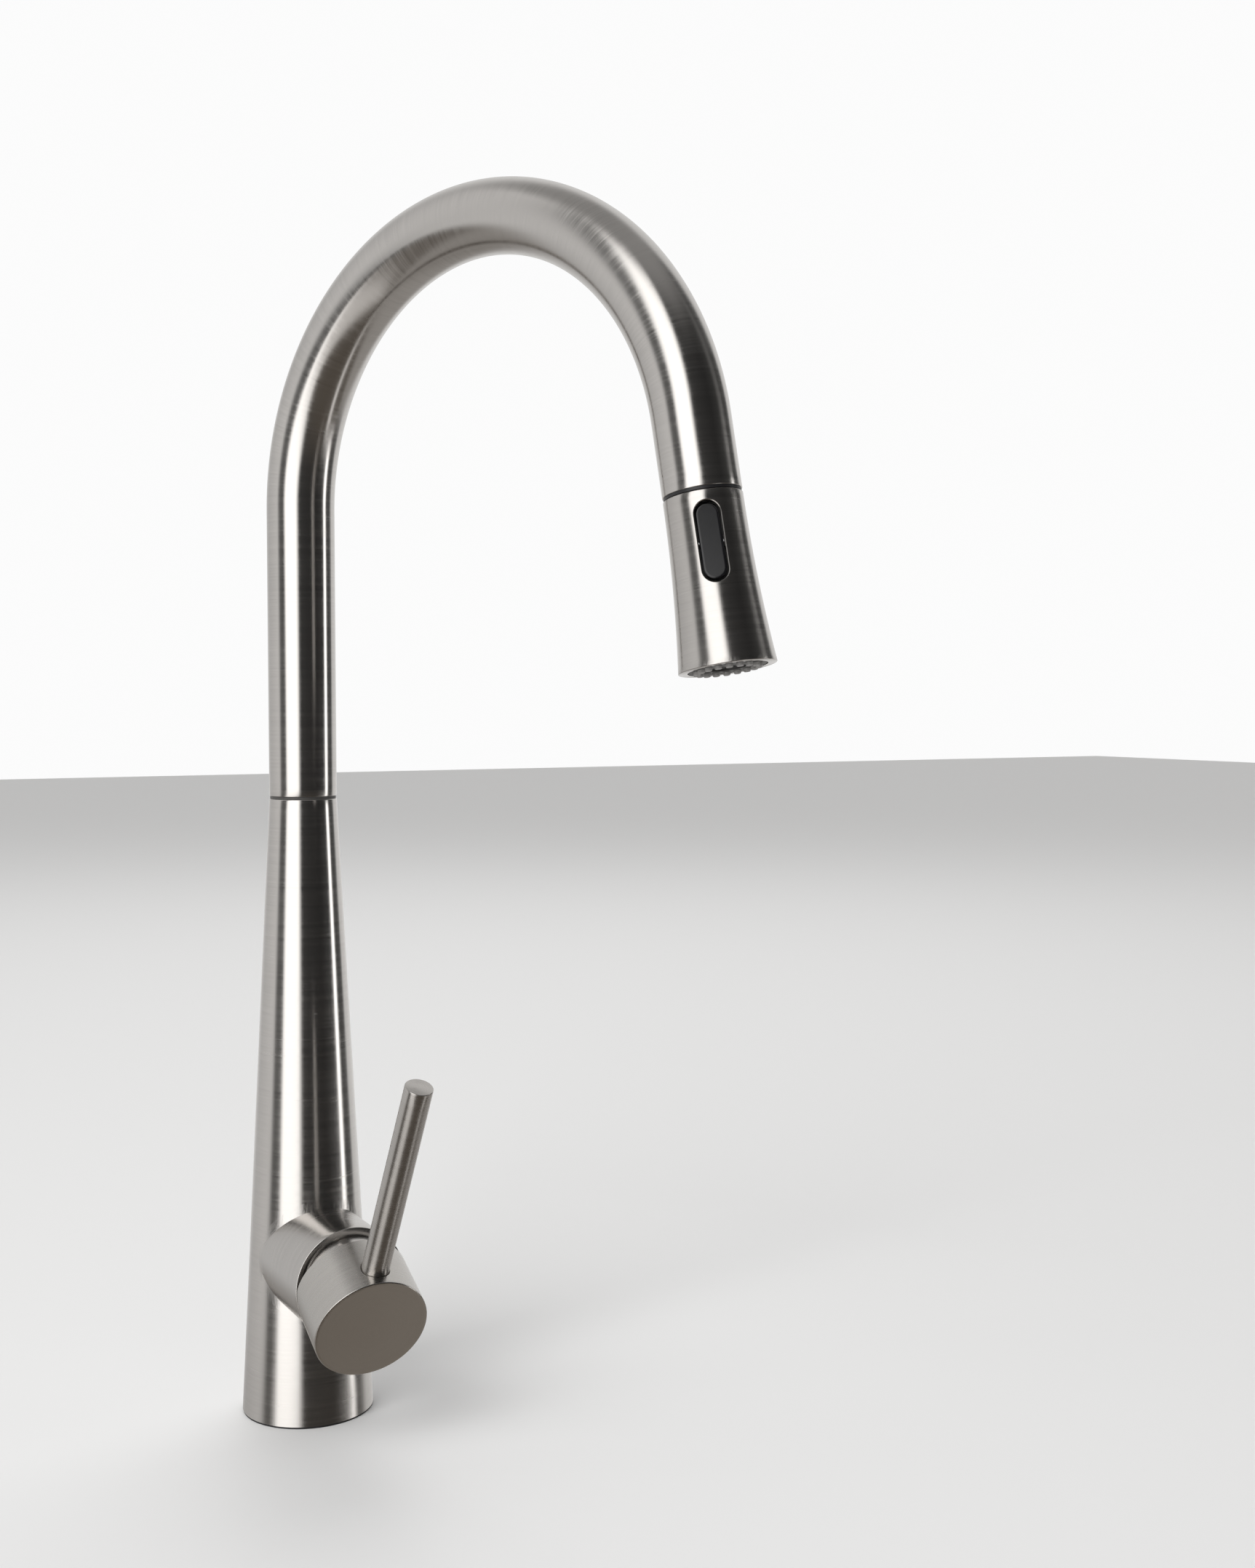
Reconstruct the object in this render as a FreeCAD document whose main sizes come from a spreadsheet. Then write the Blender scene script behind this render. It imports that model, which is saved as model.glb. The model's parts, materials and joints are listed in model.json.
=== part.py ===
import FreeCAD, Part
import math
import os
import Sketcher

# Pull down kitchen faucet with one lever. Millimetres and degrees.
# Frame: origin on the deck at the middle of the base, +Z up, -Y towards the user.

# ---------------------------------------------------------------- sizes

SIZES = {
    # conical body and its side branch
    "base_radius": 27.5,
    "neck_height": 260.0,
    "shell_wall": 2.5,
    "bearing_bore": 11.4,
    "bearing_height": 38.0,
    "gasket_height": 0.8,
    "branch_height": 67.5,
    "branch_radius": 23.0,
    "branch_wall": 2.6,
    "branch_reach": 54.5,
    # spout
    "tube_radius": 14.0,
    "tube_wall": 1.3,
    "joint_gap": 1.2,
    "arch_start": 380.0,
    "arch_radius": 104.0,
    "arch_angle": 169.5,
    "tail_length": 26.4,
    "spout_azimuth": 21.8,
    "sleeve_radius": 9.6,
    "sleeve_wall": 2.2,
    # hose
    "hose_radius": 5.8,
    "hose_bore": 3.8,
    "hose_end": 17.0,
    # under the deck
    "shank_radius": 17.0,
    "shank_bore": 15.5,
    "shank_end": 60.0,
    "deck_thickness": 30.0,
    "supply_radius": 4.0,
    "supply_bore": 3.0,
    "supply_circle": 11.3,
    "supply_angle": 62.0,
    "inlet_thread": 4.6,
    "inlet_depth": 12.0,
    # cartridge, measured along the branch from the body's axis
    "pocket_floor": 28.5,
    "pocket_radius": 17.5,
    "port_offset": 8.2,
    "outlet_offset": 9.0,
    "port_radius": 2.6,
    "mix_angle": -3.5,
    # handle
    "lift_angle": 24.0,
    "cap_radius": 22.8,
    "cap_reach": 26.5,
    "cap_wall": 2.3,
    "cap_gap": 0.6,
    "lever_radius": 5.5,
    "lever_place": 17.4,
    "lever_tip": 107.0,
    "stem_half": 4.0,
    "stem_arm": 9.3,
    "dome_radius": 19.8,
    # spray head
    "collar_lip": 1.1,
    "head_gap": 0.2,
    "head_length": 60.0,
    "head_end_radius": 17.25,
    "head_wall": 1.6,
    "face_bore": 14.0,
    "nozzle_count": 18,
    "nozzle_circle": 10.9,
    "nozzle_radius": 1.3,
    # rocker in the head
    "rocker_angle": 230.8,
    "rocker_place": 19.2,
    "rocker_half_length": 13.6,
    "rocker_half_width": 4.1,
    "rocker_tilt": 7.0,
    "rocker_pin": 10.2,
    "finger_arm": 6.5,
    "core_gap": 1.0,
    "spool_radius": 4.4,
    # clearances
    "fit_gap": 0.05,
    "run_gap": 0.1,
    "free_gap": 0.3,
}

document = FreeCAD.newDocument("faucet")
sheet = document.addObject("Spreadsheet::Sheet", "sizes")
for row, (alias, number) in enumerate(SIZES.items(), start=1):
    sheet.set("A%d" % row, alias)
    sheet.set("B%d" % row, str(number))
    sheet.setAlias("B%d" % row, alias)
document.recompute()


class Size:
    """A cell of the sheet, or a sum worked out from cells: its expression and its value."""

    def __init__(self, text, value):
        self.text = text
        self.value = value

    def __add__(self, other):
        other = as_size(other)
        return Size("(%s + %s)" % (self.text, other.text), self.value + other.value)

    def __sub__(self, other):
        other = as_size(other)
        return Size("(%s - %s)" % (self.text, other.text), self.value - other.value)

    def __mul__(self, other):
        other = as_size(other)
        return Size("(%s * %s)" % (self.text, other.text), self.value * other.value)

    def __truediv__(self, other):
        other = as_size(other)
        return Size("(%s / %s)" % (self.text, other.text), self.value / other.value)

    def __radd__(self, other):
        return as_size(other) + self

    def __rsub__(self, other):
        return as_size(other) - self

    def __rmul__(self, other):
        return as_size(other) * self

    def __neg__(self):
        return self * -1


def as_size(number):
    if isinstance(number, Size):
        return number
    return Size("(%s)" % repr(float(number)), float(number))


def sine(angle):
    return Size("sin(%s)" % angle.text, math.sin(math.radians(angle.value)))


def cosine(angle):
    return Size("cos(%s)" % angle.text, math.cos(math.radians(angle.value)))


def tangent(angle):
    return Size("tan(%s)" % angle.text, math.tan(math.radians(angle.value)))


class Sizes:
    """Every cell of the sheet by its alias."""


s = Sizes()
for alias, number in SIZES.items():
    setattr(s, alias, Size("sizes." + alias, float(number)))


# ---------------------------------------------------------------- frames and features

X = (1, 0, 0)
Y = (0, 1, 0)
Z = (0, 0, 1)
MADE = []


def placement_text(place, axis, angle):
    """One step of a placement: a shift followed by a turn about an axis."""
    shift = "vector(%s; %s; %s)" % tuple(as_size(value).text for value in place)
    turn = "rotation(vector(%d; %d; %d); %s)" % (*axis, as_size(angle).text)
    return "placement(%s; %s)" % (shift, turn)


def frame(name, parent, place=(0, 0, 0), axis=Z, angle=0):
    """A named local frame, stepped from its parent frame."""
    made = document.addObject("App::Placement", name)
    step = placement_text(place, axis, angle)
    if parent is not None:
        step = "%s.Placement * %s" % (parent.Name, step)
    made.setExpression("Placement", step)
    return made


def new_body(name, parent, place=(0, 0, 0), axis=Z, angle=0):
    """An empty body whose label names its file, placed in its frame."""
    body = document.addObject("PartDesign::Body", name)
    body.Label = name
    body.AllowCompound = True
    step = placement_text(place, axis, angle)
    body.setExpression("Placement", "%s.Placement * %s" % (parent.Name, step))
    MADE.append(body)
    return body


def origin_feature(body, role):
    for feature in body.Origin.OriginFeatures:
        if feature.Role == role:
            return feature
    raise ValueError(role)


def new_sketch(body, plane, offset=0, axis=X, angle=0):
    """A sketch on one of the body's own planes, shifted along the plane's normal."""
    sketch = body.newObject("Sketcher::SketchObject", "%s_sketch" % body.Name)
    sketch.AttachmentSupport = (origin_feature(body, plane), "")
    sketch.MapMode = "FlatFace"
    sketch.setExpression("AttachmentOffset", placement_text((0, 0, offset), axis, angle))
    return sketch


def bind(sketch, constraint, value):
    """Adds a constraint and ties its value to the sheet."""
    index = sketch.addConstraint(constraint)
    sketch.setExpression("Constraints[%d]" % index, value.text)


def fix_point(sketch, geometry, point, across, along):
    """Places one point of a sketch by its distances from the sketch's origin."""
    across = as_size(across)
    along = as_size(along)
    bind(sketch, Sketcher.Constraint("DistanceX", -1, 1, geometry, point, across.value), across)
    bind(sketch, Sketcher.Constraint("DistanceY", -1, 1, geometry, point, along.value), along)


def arc_through(start, end, radius, side):
    """A circular arc of a radius between two points, bulging to the given side of the chord."""
    middle = (start + end) * 0.5
    chord = end - start
    half = chord.Length / 2
    normal = FreeCAD.Vector(-chord.y, chord.x, 0).normalize() * side
    rise = radius - math.sqrt(radius ** 2 - half ** 2)
    return Part.Arc(start, middle + normal * rise, end)


def outline(sketch, points, arcs=None):
    """A closed outline; arcs maps a side's number to its radius and the side it bulges to."""
    arcs = arcs or {}
    corners = [FreeCAD.Vector(as_size(a).value, as_size(b).value, 0) for a, b in points]
    count = len(corners)
    first_point = {}
    last_point = {}
    for side in range(count):
        start = corners[side]
        end = corners[(side + 1) % count]
        first_point[side], last_point[side] = 1, 2
        if side in arcs:
            radius, bulge = arcs[side]
            sketch.addGeometry(arc_through(start, end, radius.value, bulge), False)
            arc_start = sketch.getPoint(side, 1)
            if arc_start.distanceToPoint(start) > arc_start.distanceToPoint(end):
                first_point[side], last_point[side] = 2, 1
        else:
            sketch.addGeometry(Part.LineSegment(start, end), False)
    for side in range(count):
        following = (side + 1) % count
        sketch.addConstraint(Sketcher.Constraint(
            "Coincident", side, last_point[side], following, first_point[following]))
    for side, (across, along) in enumerate(points):
        fix_point(sketch, side, first_point[side], across, along)
    for side, (radius, bulge) in arcs.items():
        bind(sketch, Sketcher.Constraint("Radius", side, radius.value), radius)


def circles(sketch, rounds):
    """Circles, each given by its middle and its radius."""
    for index, (across, along, radius) in enumerate(rounds):
        across, along, radius = as_size(across), as_size(along), as_size(radius)
        middle = FreeCAD.Vector(across.value, along.value, 0)
        sketch.addGeometry(Part.Circle(middle, FreeCAD.Vector(0, 0, 1), radius.value), False)
        fix_point(sketch, index, 3, across, along)
        bind(sketch, Sketcher.Constraint("Radius", index, radius.value), radius)


def oblong(sketch, half_length, radius):
    """An outline of two half circles joined by straight sides, long along the sketch's Y."""
    centre = as_size(half_length) - radius
    radius = as_size(radius)
    up = FreeCAD.Vector(0, centre.value, 0)
    down = FreeCAD.Vector(0, -centre.value, 0)
    side = FreeCAD.Vector(radius.value, 0, 0)
    normal = FreeCAD.Vector(0, 0, 1)
    top = Part.ArcOfCircle(Part.Circle(up, normal, radius.value), 0, math.pi)
    bottom = Part.ArcOfCircle(Part.Circle(down, normal, radius.value), math.pi, 2 * math.pi)
    sketch.addGeometry(top, False)
    sketch.addGeometry(Part.LineSegment(up - side, down - side), False)
    sketch.addGeometry(bottom, False)
    sketch.addGeometry(Part.LineSegment(down + side, up + side), False)
    for here, point, there, other in ((0, 2, 1, 1), (1, 2, 2, 1), (2, 2, 3, 1), (3, 2, 0, 1)):
        sketch.addConstraint(Sketcher.Constraint("Tangent", here, point, there, other))
    fix_point(sketch, 0, 3, 0, centre)
    fix_point(sketch, 2, 3, 0, -centre)
    bind(sketch, Sketcher.Constraint("Radius", 0, radius.value), radius)


def turn(body, points, arcs=None):
    """Adds the solid that an outline of (radius, height) sweeps about the body's Z axis."""
    sketch = new_sketch(body, "XZ_Plane")
    outline(sketch, points, arcs)
    feature = body.newObject("PartDesign::Revolution", "%s_turn" % body.Name)
    feature.Profile = sketch
    feature.ReferenceAxis = (origin_feature(body, "Z_Axis"), [""])
    feature.Angle = 360
    return feature


def extrude(body, sketch, kind, length, along_normal):
    """A pad or a pocket of a length, and a check that the pocket removes something."""
    before = 0
    if kind == "PartDesign::Pocket":
        document.recompute()
        before = body.Shape.Volume
    feature = body.newObject(kind, "%s_extrusion" % body.Name)
    feature.Profile = sketch
    feature.setExpression("Length", as_size(length).text)
    feature.Reversed = along_normal == (kind == "PartDesign::Pocket")
    if before:
        document.recompute()
        if before - body.Shape.Volume < 0.01:
            raise ValueError("nothing was cut from " + body.Name)
    return feature


def pad(body, sketch, length, along_normal=True):
    return extrude(body, sketch, "PartDesign::Pad", length, along_normal)


def pocket(body, sketch, length, along_normal=False):
    return extrude(body, sketch, "PartDesign::Pocket", length, along_normal)


def drill(body, plane, start, depth, rounds, along_normal=False):
    """Round holes sunk from a shifted plane."""
    sketch = new_sketch(body, plane, start)
    circles(sketch, rounds)
    return pocket(body, sketch, depth, along_normal)


def mill(body, plane, start, depth, points, along_normal=False):
    """A straight-sided cut sunk from a shifted plane."""
    sketch = new_sketch(body, plane, start)
    outline(sketch, points)
    return pocket(body, sketch, depth, along_normal)


def rectangle(left, right, low, high):
    return [(left, low), (right, low), (right, high), (left, high)]


def ring(name, parent, inner, outer, low, high, place=(0, 0, 0)):
    """A plain ring about the frame's Z axis."""
    body = new_body(name, parent, place)
    turn(body, rectangle(inner, outer, low, high))
    return body


def around(feature, body, count):
    """Repeats a feature evenly about the body's Z axis."""
    pattern = body.newObject("PartDesign::PolarPattern", "%s_pattern" % body.Name)
    pattern.Originals = [feature]
    pattern.Axis = (origin_feature(body, "Z_Axis"), [""])
    pattern.Angle = 360
    pattern.setExpression("Occurrences", count.text)
    body.Tip = pattern
    return pattern


# ---------------------------------------------------------------- places shared by pieces

spout_end_reach = s.arch_radius * (1 - cosine(s.arch_angle)) + s.tail_length * sine(s.arch_angle)
spout_end_height = (s.arch_start + s.arch_radius * sine(s.arch_angle)
                    + s.tail_length * cosine(s.arch_angle))
neck_radius = s.tube_radius
tube_foot = s.neck_height + s.joint_gap
tube_inside = s.tube_radius - s.tube_wall
half_lift = s.lift_angle / 2
core_radius = s.tube_radius - s.head_wall - s.core_gap
head_top = s.collar_lip + s.head_gap
head_bottom = head_top + s.head_length
cap_inside = s.cap_radius - s.cap_wall
supply_side = s.supply_circle * sine(s.supply_angle)
supply_front = s.supply_circle * cosine(s.supply_angle)

deck_frame = frame("deck_frame", None)
spout_frame = frame("spout_frame", deck_frame, axis=Z, angle=s.spout_azimuth - 90)
docked_frame = frame("docked_frame", spout_frame, (spout_end_reach, 0, spout_end_height),
                     Y, s.arch_angle)
head_frame = frame("head_frame", docked_frame, axis=Z, angle=s.rocker_angle)
branch_frame = frame("branch_frame", deck_frame, (0, 0, s.branch_height), X, 90)
mixer_frame = frame("mixer_frame", branch_frame, axis=Z, angle=s.mix_angle)
cap_frame = frame("cap_frame", mixer_frame, (0, 0, s.branch_reach), X, s.lift_angle)
stem_frame = frame("stem_frame", cap_frame, axis=X, angle=-half_lift)


def cone_radius(height):
    """The cone's outer radius at a height above the deck."""
    slope = (s.base_radius - neck_radius) / s.neck_height
    return s.base_radius - slope * height


def shell_inside(height):
    return cone_radius(height) - s.shell_wall


# ---------------------------------------------------------------- conical body

def make_body_shell():
    """The conical shell, its bearing bore at the neck, and the branch that carries the mixer."""
    body = new_body("body_shell", deck_frame)
    bearing_foot = s.neck_height - s.bearing_height
    bearing_taper = 1.5
    shoulder = bearing_foot - bearing_taper
    neck_chamfer = 0.3
    turn(body, [
        (shell_inside(s.gasket_height), s.gasket_height),
        (cone_radius(s.gasket_height), s.gasket_height),
        (cone_radius(s.neck_height - neck_chamfer), s.neck_height - neck_chamfer),
        (neck_radius - neck_chamfer, s.neck_height),
        (s.bearing_bore, s.neck_height),
        (s.bearing_bore, bearing_foot),
        (shell_inside(shoulder), shoulder),
    ])
    branch = new_sketch(body, "XZ_Plane")
    circles(branch, [(0, s.branch_height, s.branch_radius)])
    pad(body, branch, s.branch_reach)
    inner = new_sketch(body, "XZ_Plane", s.branch_reach)
    circles(inner, [(0, s.branch_height, s.branch_radius - s.branch_wall)])
    pocket(body, inner, s.branch_reach)
    cavity_low = s.branch_height - s.branch_radius
    cavity_high = s.branch_height + s.branch_radius
    cavity = new_sketch(body, "XZ_Plane")
    outline(cavity, [
        (0, cavity_low),
        (shell_inside(cavity_low), cavity_low),
        (shell_inside(cavity_high), cavity_high),
        (0, cavity_high),
    ])
    groove = body.newObject("PartDesign::Groove", "body_shell_cavity")
    groove.Profile = cavity
    groove.ReferenceAxis = (origin_feature(body, "Z_Axis"), [""])
    groove.Angle = 360


def make_base():
    """The seal on the deck and the plate that the shell and the threaded shank join."""
    gasket_inset = 0.3
    plate_thickness = 6.2
    shank_over_plate = 2.0
    ring("base_gasket", deck_frame, s.shank_radius + s.free_gap,
         s.base_radius - gasket_inset, 0, s.gasket_height)
    plate_top = s.gasket_height + plate_thickness
    ring("base_plate", deck_frame, s.shank_radius + s.fit_gap,
         shell_inside(plate_top) - s.fit_gap, s.gasket_height, plate_top)
    ring("threaded_shank", deck_frame, s.shank_bore, s.shank_radius, -s.shank_end,
         plate_top + shank_over_plate)


def make_deck_fixing():
    """The washers, the nut and its jack screws that clamp the deck from below."""
    rubber_thickness = 3.0
    steel_thickness = 2.0
    nut_gap = 2.0
    nut_thickness = 10.0
    rim = 26.0
    screw_radius = 2.5
    screw_circle = 21.5
    screw_count = as_size(3)
    screw_below_nut = 7.0
    washer_top = -s.deck_thickness
    steel_top = washer_top - rubber_thickness
    steel_bottom = steel_top - steel_thickness
    nut_top = steel_bottom - nut_gap
    nut_bottom = nut_top - nut_thickness
    hole = s.shank_radius + s.free_gap
    ring("rubber_washer", deck_frame, hole, rim, steel_top, washer_top)
    ring("steel_washer", deck_frame, hole, rim, steel_bottom, steel_top)
    nut = ring("mounting_nut", deck_frame, s.shank_radius + s.fit_gap, rim, nut_bottom, nut_top)
    hole_sketch = new_sketch(nut, "XY_Plane", nut_top)
    circles(hole_sketch, [(screw_circle, 0, screw_radius + s.fit_gap)])
    screw_hole = pocket(nut, hole_sketch, nut_top - nut_bottom)
    around(screw_hole, nut, screw_count)
    screws = new_body("jack_screws", deck_frame)
    screw_sketch = new_sketch(screws, "XY_Plane", nut_bottom - screw_below_nut)
    circles(screw_sketch, [(screw_circle, 0, screw_radius)])
    screw = pad(screws, screw_sketch, steel_bottom - nut_bottom + screw_below_nut)
    around(screw, screws, screw_count)


# ---------------------------------------------------------------- waterways in the body

def supply_places():
    """Where the hot, cold and mixed water tubes stand around the hose."""
    return {
        "hot": (-supply_side, -supply_front),
        "cold": (supply_side, -supply_front),
        "mixed": (as_size(0), -s.supply_circle),
    }


def make_valve_body():
    """The brass casting in the branch: cartridge pocket, hose passage and drilled waterways."""
    body = new_body("valve_body", branch_frame)
    rear = -5.0
    front_inset = 1.0
    thread_depth = 2.9
    thread_height = 1.5
    rear_clearance = 1.3
    hose_clearance = 0.7
    past_surface = 3.0
    mixed_depth = 6.0
    outside = s.branch_radius - s.branch_wall - s.fit_gap
    front = s.branch_reach - front_inset
    mouth = s.pocket_radius + thread_height
    shoulder = front - thread_depth
    rear_radius = shell_inside(s.branch_height) - rear_clearance
    turn(body, [
        (0, rear),
        (rear_radius, rear),
        (rear_radius, 0),
        (outside, 0),
        (outside, front),
        (mouth, front),
        (mouth, shoulder),
        (s.pocket_radius, shoulder),
        (s.pocket_radius, s.pocket_floor),
        (0, s.pocket_floor),
    ])
    hose_hole = s.hose_radius + hose_clearance
    drill(body, "XZ_Plane", -outside, 2 * outside, [(0, 0, hose_hole)], True)
    tube_hole = s.supply_radius + s.fit_gap
    side_holes = [(-supply_side, supply_front, tube_hole), (supply_side, supply_front, tube_hole)]
    drill(body, "XZ_Plane", outside, outside + past_surface, side_holes)
    drill(body, "XZ_Plane", outside, outside - mixed_depth, [(0, s.supply_circle, tube_hole)])
    side_ports = [(-s.port_offset, 0, s.port_radius), (s.port_offset, 0, s.port_radius)]
    drill(body, "XY_Plane", s.pocket_floor, s.pocket_floor - supply_front, side_ports)
    drill(body, "XY_Plane", s.pocket_floor, s.pocket_floor - s.supply_circle,
          [(0, -s.outlet_offset, s.port_radius)])


def make_supply_tubes():
    """Three straight tubes down through the shank, each with a threaded socket at its end."""
    below_shank = 6.0
    socket_wall = 0.9
    tube_depth = 6.0
    stop_wall = 2.0
    tube_inset = 0.2
    top_over_branch = {"hot": 2.0, "cold": 2.0, "mixed": -7.5}
    socket_top = -s.shank_end - below_shank
    tube_stop = socket_top - tube_depth
    thread_top = tube_stop - stop_wall
    for water, (across, along) in supply_places().items():
        place = (across, along, 0)
        top = s.branch_height + top_over_branch[water]
        ring(water + "_tube", deck_frame, s.supply_bore, s.supply_radius,
             tube_stop + tube_inset, top, place)
        socket = new_body(water + "_socket", deck_frame, place)
        bottom = thread_top - s.inlet_depth
        turn(socket, [
            (s.supply_radius + s.fit_gap, socket_top),
            (s.supply_radius + s.fit_gap, tube_stop),
            (s.supply_bore, tube_stop),
            (s.supply_bore, thread_top),
            (s.inlet_thread, thread_top),
            (s.inlet_thread, bottom),
            (s.inlet_thread + socket_wall, bottom),
            (s.inlet_thread + socket_wall, socket_top),
        ])


# ---------------------------------------------------------------- mixer cartridge

# Thicknesses of what stands in the cartridge, in order from the pocket's floor.
base_thickness = 5.0
fixed_disc_thickness = 4.45
moving_disc_thickness = 4.0
driver_thickness = 4.5
flange_thickness = 2.2
neck_overhang = 2.5
nut_seat = 3.9
pin_radius = 1.5

# Stations along the branch, from the body's axis outwards.
base_top = s.pocket_floor + base_thickness
fixed_disc_top = base_top + fixed_disc_thickness
moving_disc_top = fixed_disc_top + moving_disc_thickness
driver_top = moving_disc_top + driver_thickness
rotor_flange_top = driver_top + flange_thickness
wall_back = rotor_flange_top + s.run_gap
shoulder_place = s.branch_reach - nut_seat
neck_front = s.branch_reach + neck_overhang
driver_shift = s.stem_arm * sine(half_lift)


def port_rounds(radius):
    return [
        (-s.port_offset, 0, radius),
        (s.port_offset, 0, radius),
        (0, -s.outlet_offset, radius),
    ]


def make_cartridge_case():
    """The cartridge's base, port seals, fixed ceramic disc, housing and clamping nut."""
    seal_width = 1.6
    seal_groove = 1.15
    seal_height = 1.1
    housing_wall = 2.0
    seal_radius = s.port_radius + seal_width
    base = new_body("cartridge_base", branch_frame)
    turn(base, rectangle(0, s.pocket_radius - s.run_gap, s.pocket_floor + s.fit_gap, base_top))
    drill(base, "XY_Plane", base_top, base_thickness, port_rounds(s.port_radius))
    drill(base, "XY_Plane", s.pocket_floor, seal_groove,
          port_rounds(seal_radius + s.fit_gap), True)

    seals = new_body("port_seals", branch_frame)
    seal_sketch = new_sketch(seals, "XY_Plane", s.pocket_floor)
    circles(seal_sketch, port_rounds(s.port_radius) + port_rounds(seal_radius))
    pad(seals, seal_sketch, seal_height)

    case_inside = s.pocket_radius - housing_wall
    fixed = new_body("fixed_disc", branch_frame)
    turn(fixed, rectangle(0, case_inside - s.run_gap, base_top, fixed_disc_top))
    drill(fixed, "XY_Plane", fixed_disc_top, fixed_disc_thickness,
          port_rounds(s.port_radius))

    housing = new_body("cartridge_housing", branch_frame)
    neck_bore = 9.0
    neck_outside = 11.2
    turn(housing, [
        (case_inside, base_top),
        (s.pocket_radius - s.run_gap, base_top),
        (s.pocket_radius - s.run_gap, shoulder_place),
        (neck_outside, shoulder_place),
        (neck_outside, neck_front),
        (neck_bore, neck_front),
        (neck_bore, wall_back),
        (case_inside, wall_back),
    ])

    nut = new_body("cartridge_nut", branch_frame)
    thread = s.pocket_radius + 1.4
    nut_bore = neck_outside + 0.2
    nut_seat_place = shoulder_place + s.fit_gap
    thread_front = s.branch_reach - 1.1
    hexagon_radius = 14.5
    nut_front = s.branch_reach + 1.5
    turn(nut, [
        (nut_bore, nut_seat_place),
        (thread, nut_seat_place),
        (thread, thread_front),
        (hexagon_radius, thread_front),
        (hexagon_radius, nut_front),
        (nut_bore, nut_front),
    ])


def make_dome_ring():
    """The domed trim ring behind the cap: a zone of a sphere about the handle's pivot."""
    body = new_body("dome_ring", branch_frame)
    wall = 0.85
    skirt_depth = 0.95
    rise = as_size(30)
    skirt = s.branch_reach - skirt_depth
    inner = s.dome_radius - wall
    turn(body, [
        (inner, skirt),
        (s.dome_radius, skirt),
        (s.dome_radius, s.branch_reach),
        (s.dome_radius * cosine(rise), s.branch_reach + s.dome_radius * sine(rise)),
        (inner * cosine(rise), s.branch_reach + inner * sine(rise)),
        (inner, s.branch_reach),
    ], {2: (s.dome_radius, -1), 4: (inner, 1)})


def make_mixer_moving():
    """The rotor that turns for temperature, its cross pin, and the ceramic disc it carries."""
    rotor = new_body("cartridge_rotor", mixer_frame)
    neck = 8.9
    flange_radius = 13.2
    flange_back = driver_top + s.run_gap
    turn(rotor, [
        (0, flange_back),
        (flange_radius, flange_back),
        (flange_radius, rotor_flange_top),
        (neck, rotor_flange_top),
        (neck, neck_front),
        (0, neck_front),
    ])
    slot_half = 3.1
    slot_height = 5.3
    mill(rotor, "XY_Plane", neck_front, neck_front - flange_back,
         rectangle(-slot_half, slot_half, -slot_height, slot_height))
    drill(rotor, "YZ_Plane", -neck, 2 * neck,
          [(0, s.branch_reach, pin_radius + s.fit_gap)], True)

    pin = new_body("stem_pin", mixer_frame)
    pin_half = 8.0
    pin_sketch = new_sketch(pin, "YZ_Plane", -pin_half)
    circles(pin_sketch, [(0, s.branch_reach, pin_radius)])
    pad(pin, pin_sketch, 2 * pin_half)

    shift = (0, driver_shift, 0)
    disc = new_body("moving_disc", mixer_frame, shift)
    disc_foot = fixed_disc_top + s.fit_gap
    disc_radius = 10.8
    chamber_half, chamber_low, chamber_high, chamber_depth = 9.0, -8.0, 2.0, 2.0
    turn(disc, rectangle(0, disc_radius, disc_foot, moving_disc_top))
    mill(disc, "XY_Plane", disc_foot, chamber_depth,
         rectangle(-chamber_half, chamber_half, chamber_low, chamber_high), True)

    driver = new_body("disc_driver", mixer_frame, shift)
    driver_radius = 11.4
    finger_hole, finger_hole_depth = 2.5, 4.0
    turn(driver, rectangle(0, driver_radius, moving_disc_top, driver_top))
    drill(driver, "XY_Plane", driver_top, finger_hole_depth, [(0, 0, finger_hole)])


# ---------------------------------------------------------------- handle

def make_stem():
    """The square stem that the cap grips, hinged on the pin, with a finger for the disc."""
    body = new_body("stem", stem_frame)
    finger_radius, finger_foot, finger_length = 2.0, -10.5, 5.0
    blade_half_wide, blade_half_high = 3.0, 3.4
    blade_foot, blade_length = -7.0, 12.0
    square_foot, square_length = 4.4, 13.2
    half_hole = 5.0
    finger = new_sketch(body, "XY_Plane", finger_foot)
    circles(finger, [(0, 0, finger_radius)])
    pad(body, finger, finger_length)
    blade = new_sketch(body, "XY_Plane", blade_foot)
    outline(blade, rectangle(-blade_half_wide, blade_half_wide,
                             -blade_half_high, blade_half_high))
    pad(body, blade, blade_length)
    square = new_sketch(body, "XY_Plane", square_foot)
    outline(square, rectangle(-s.stem_half, s.stem_half, -s.stem_half, s.stem_half))
    pad(body, square, square_length)
    drill(body, "YZ_Plane", -half_hole, 2 * half_hole, [(0, 0, pin_radius + s.fit_gap)], True)


spigot_radius = 3.0


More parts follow.
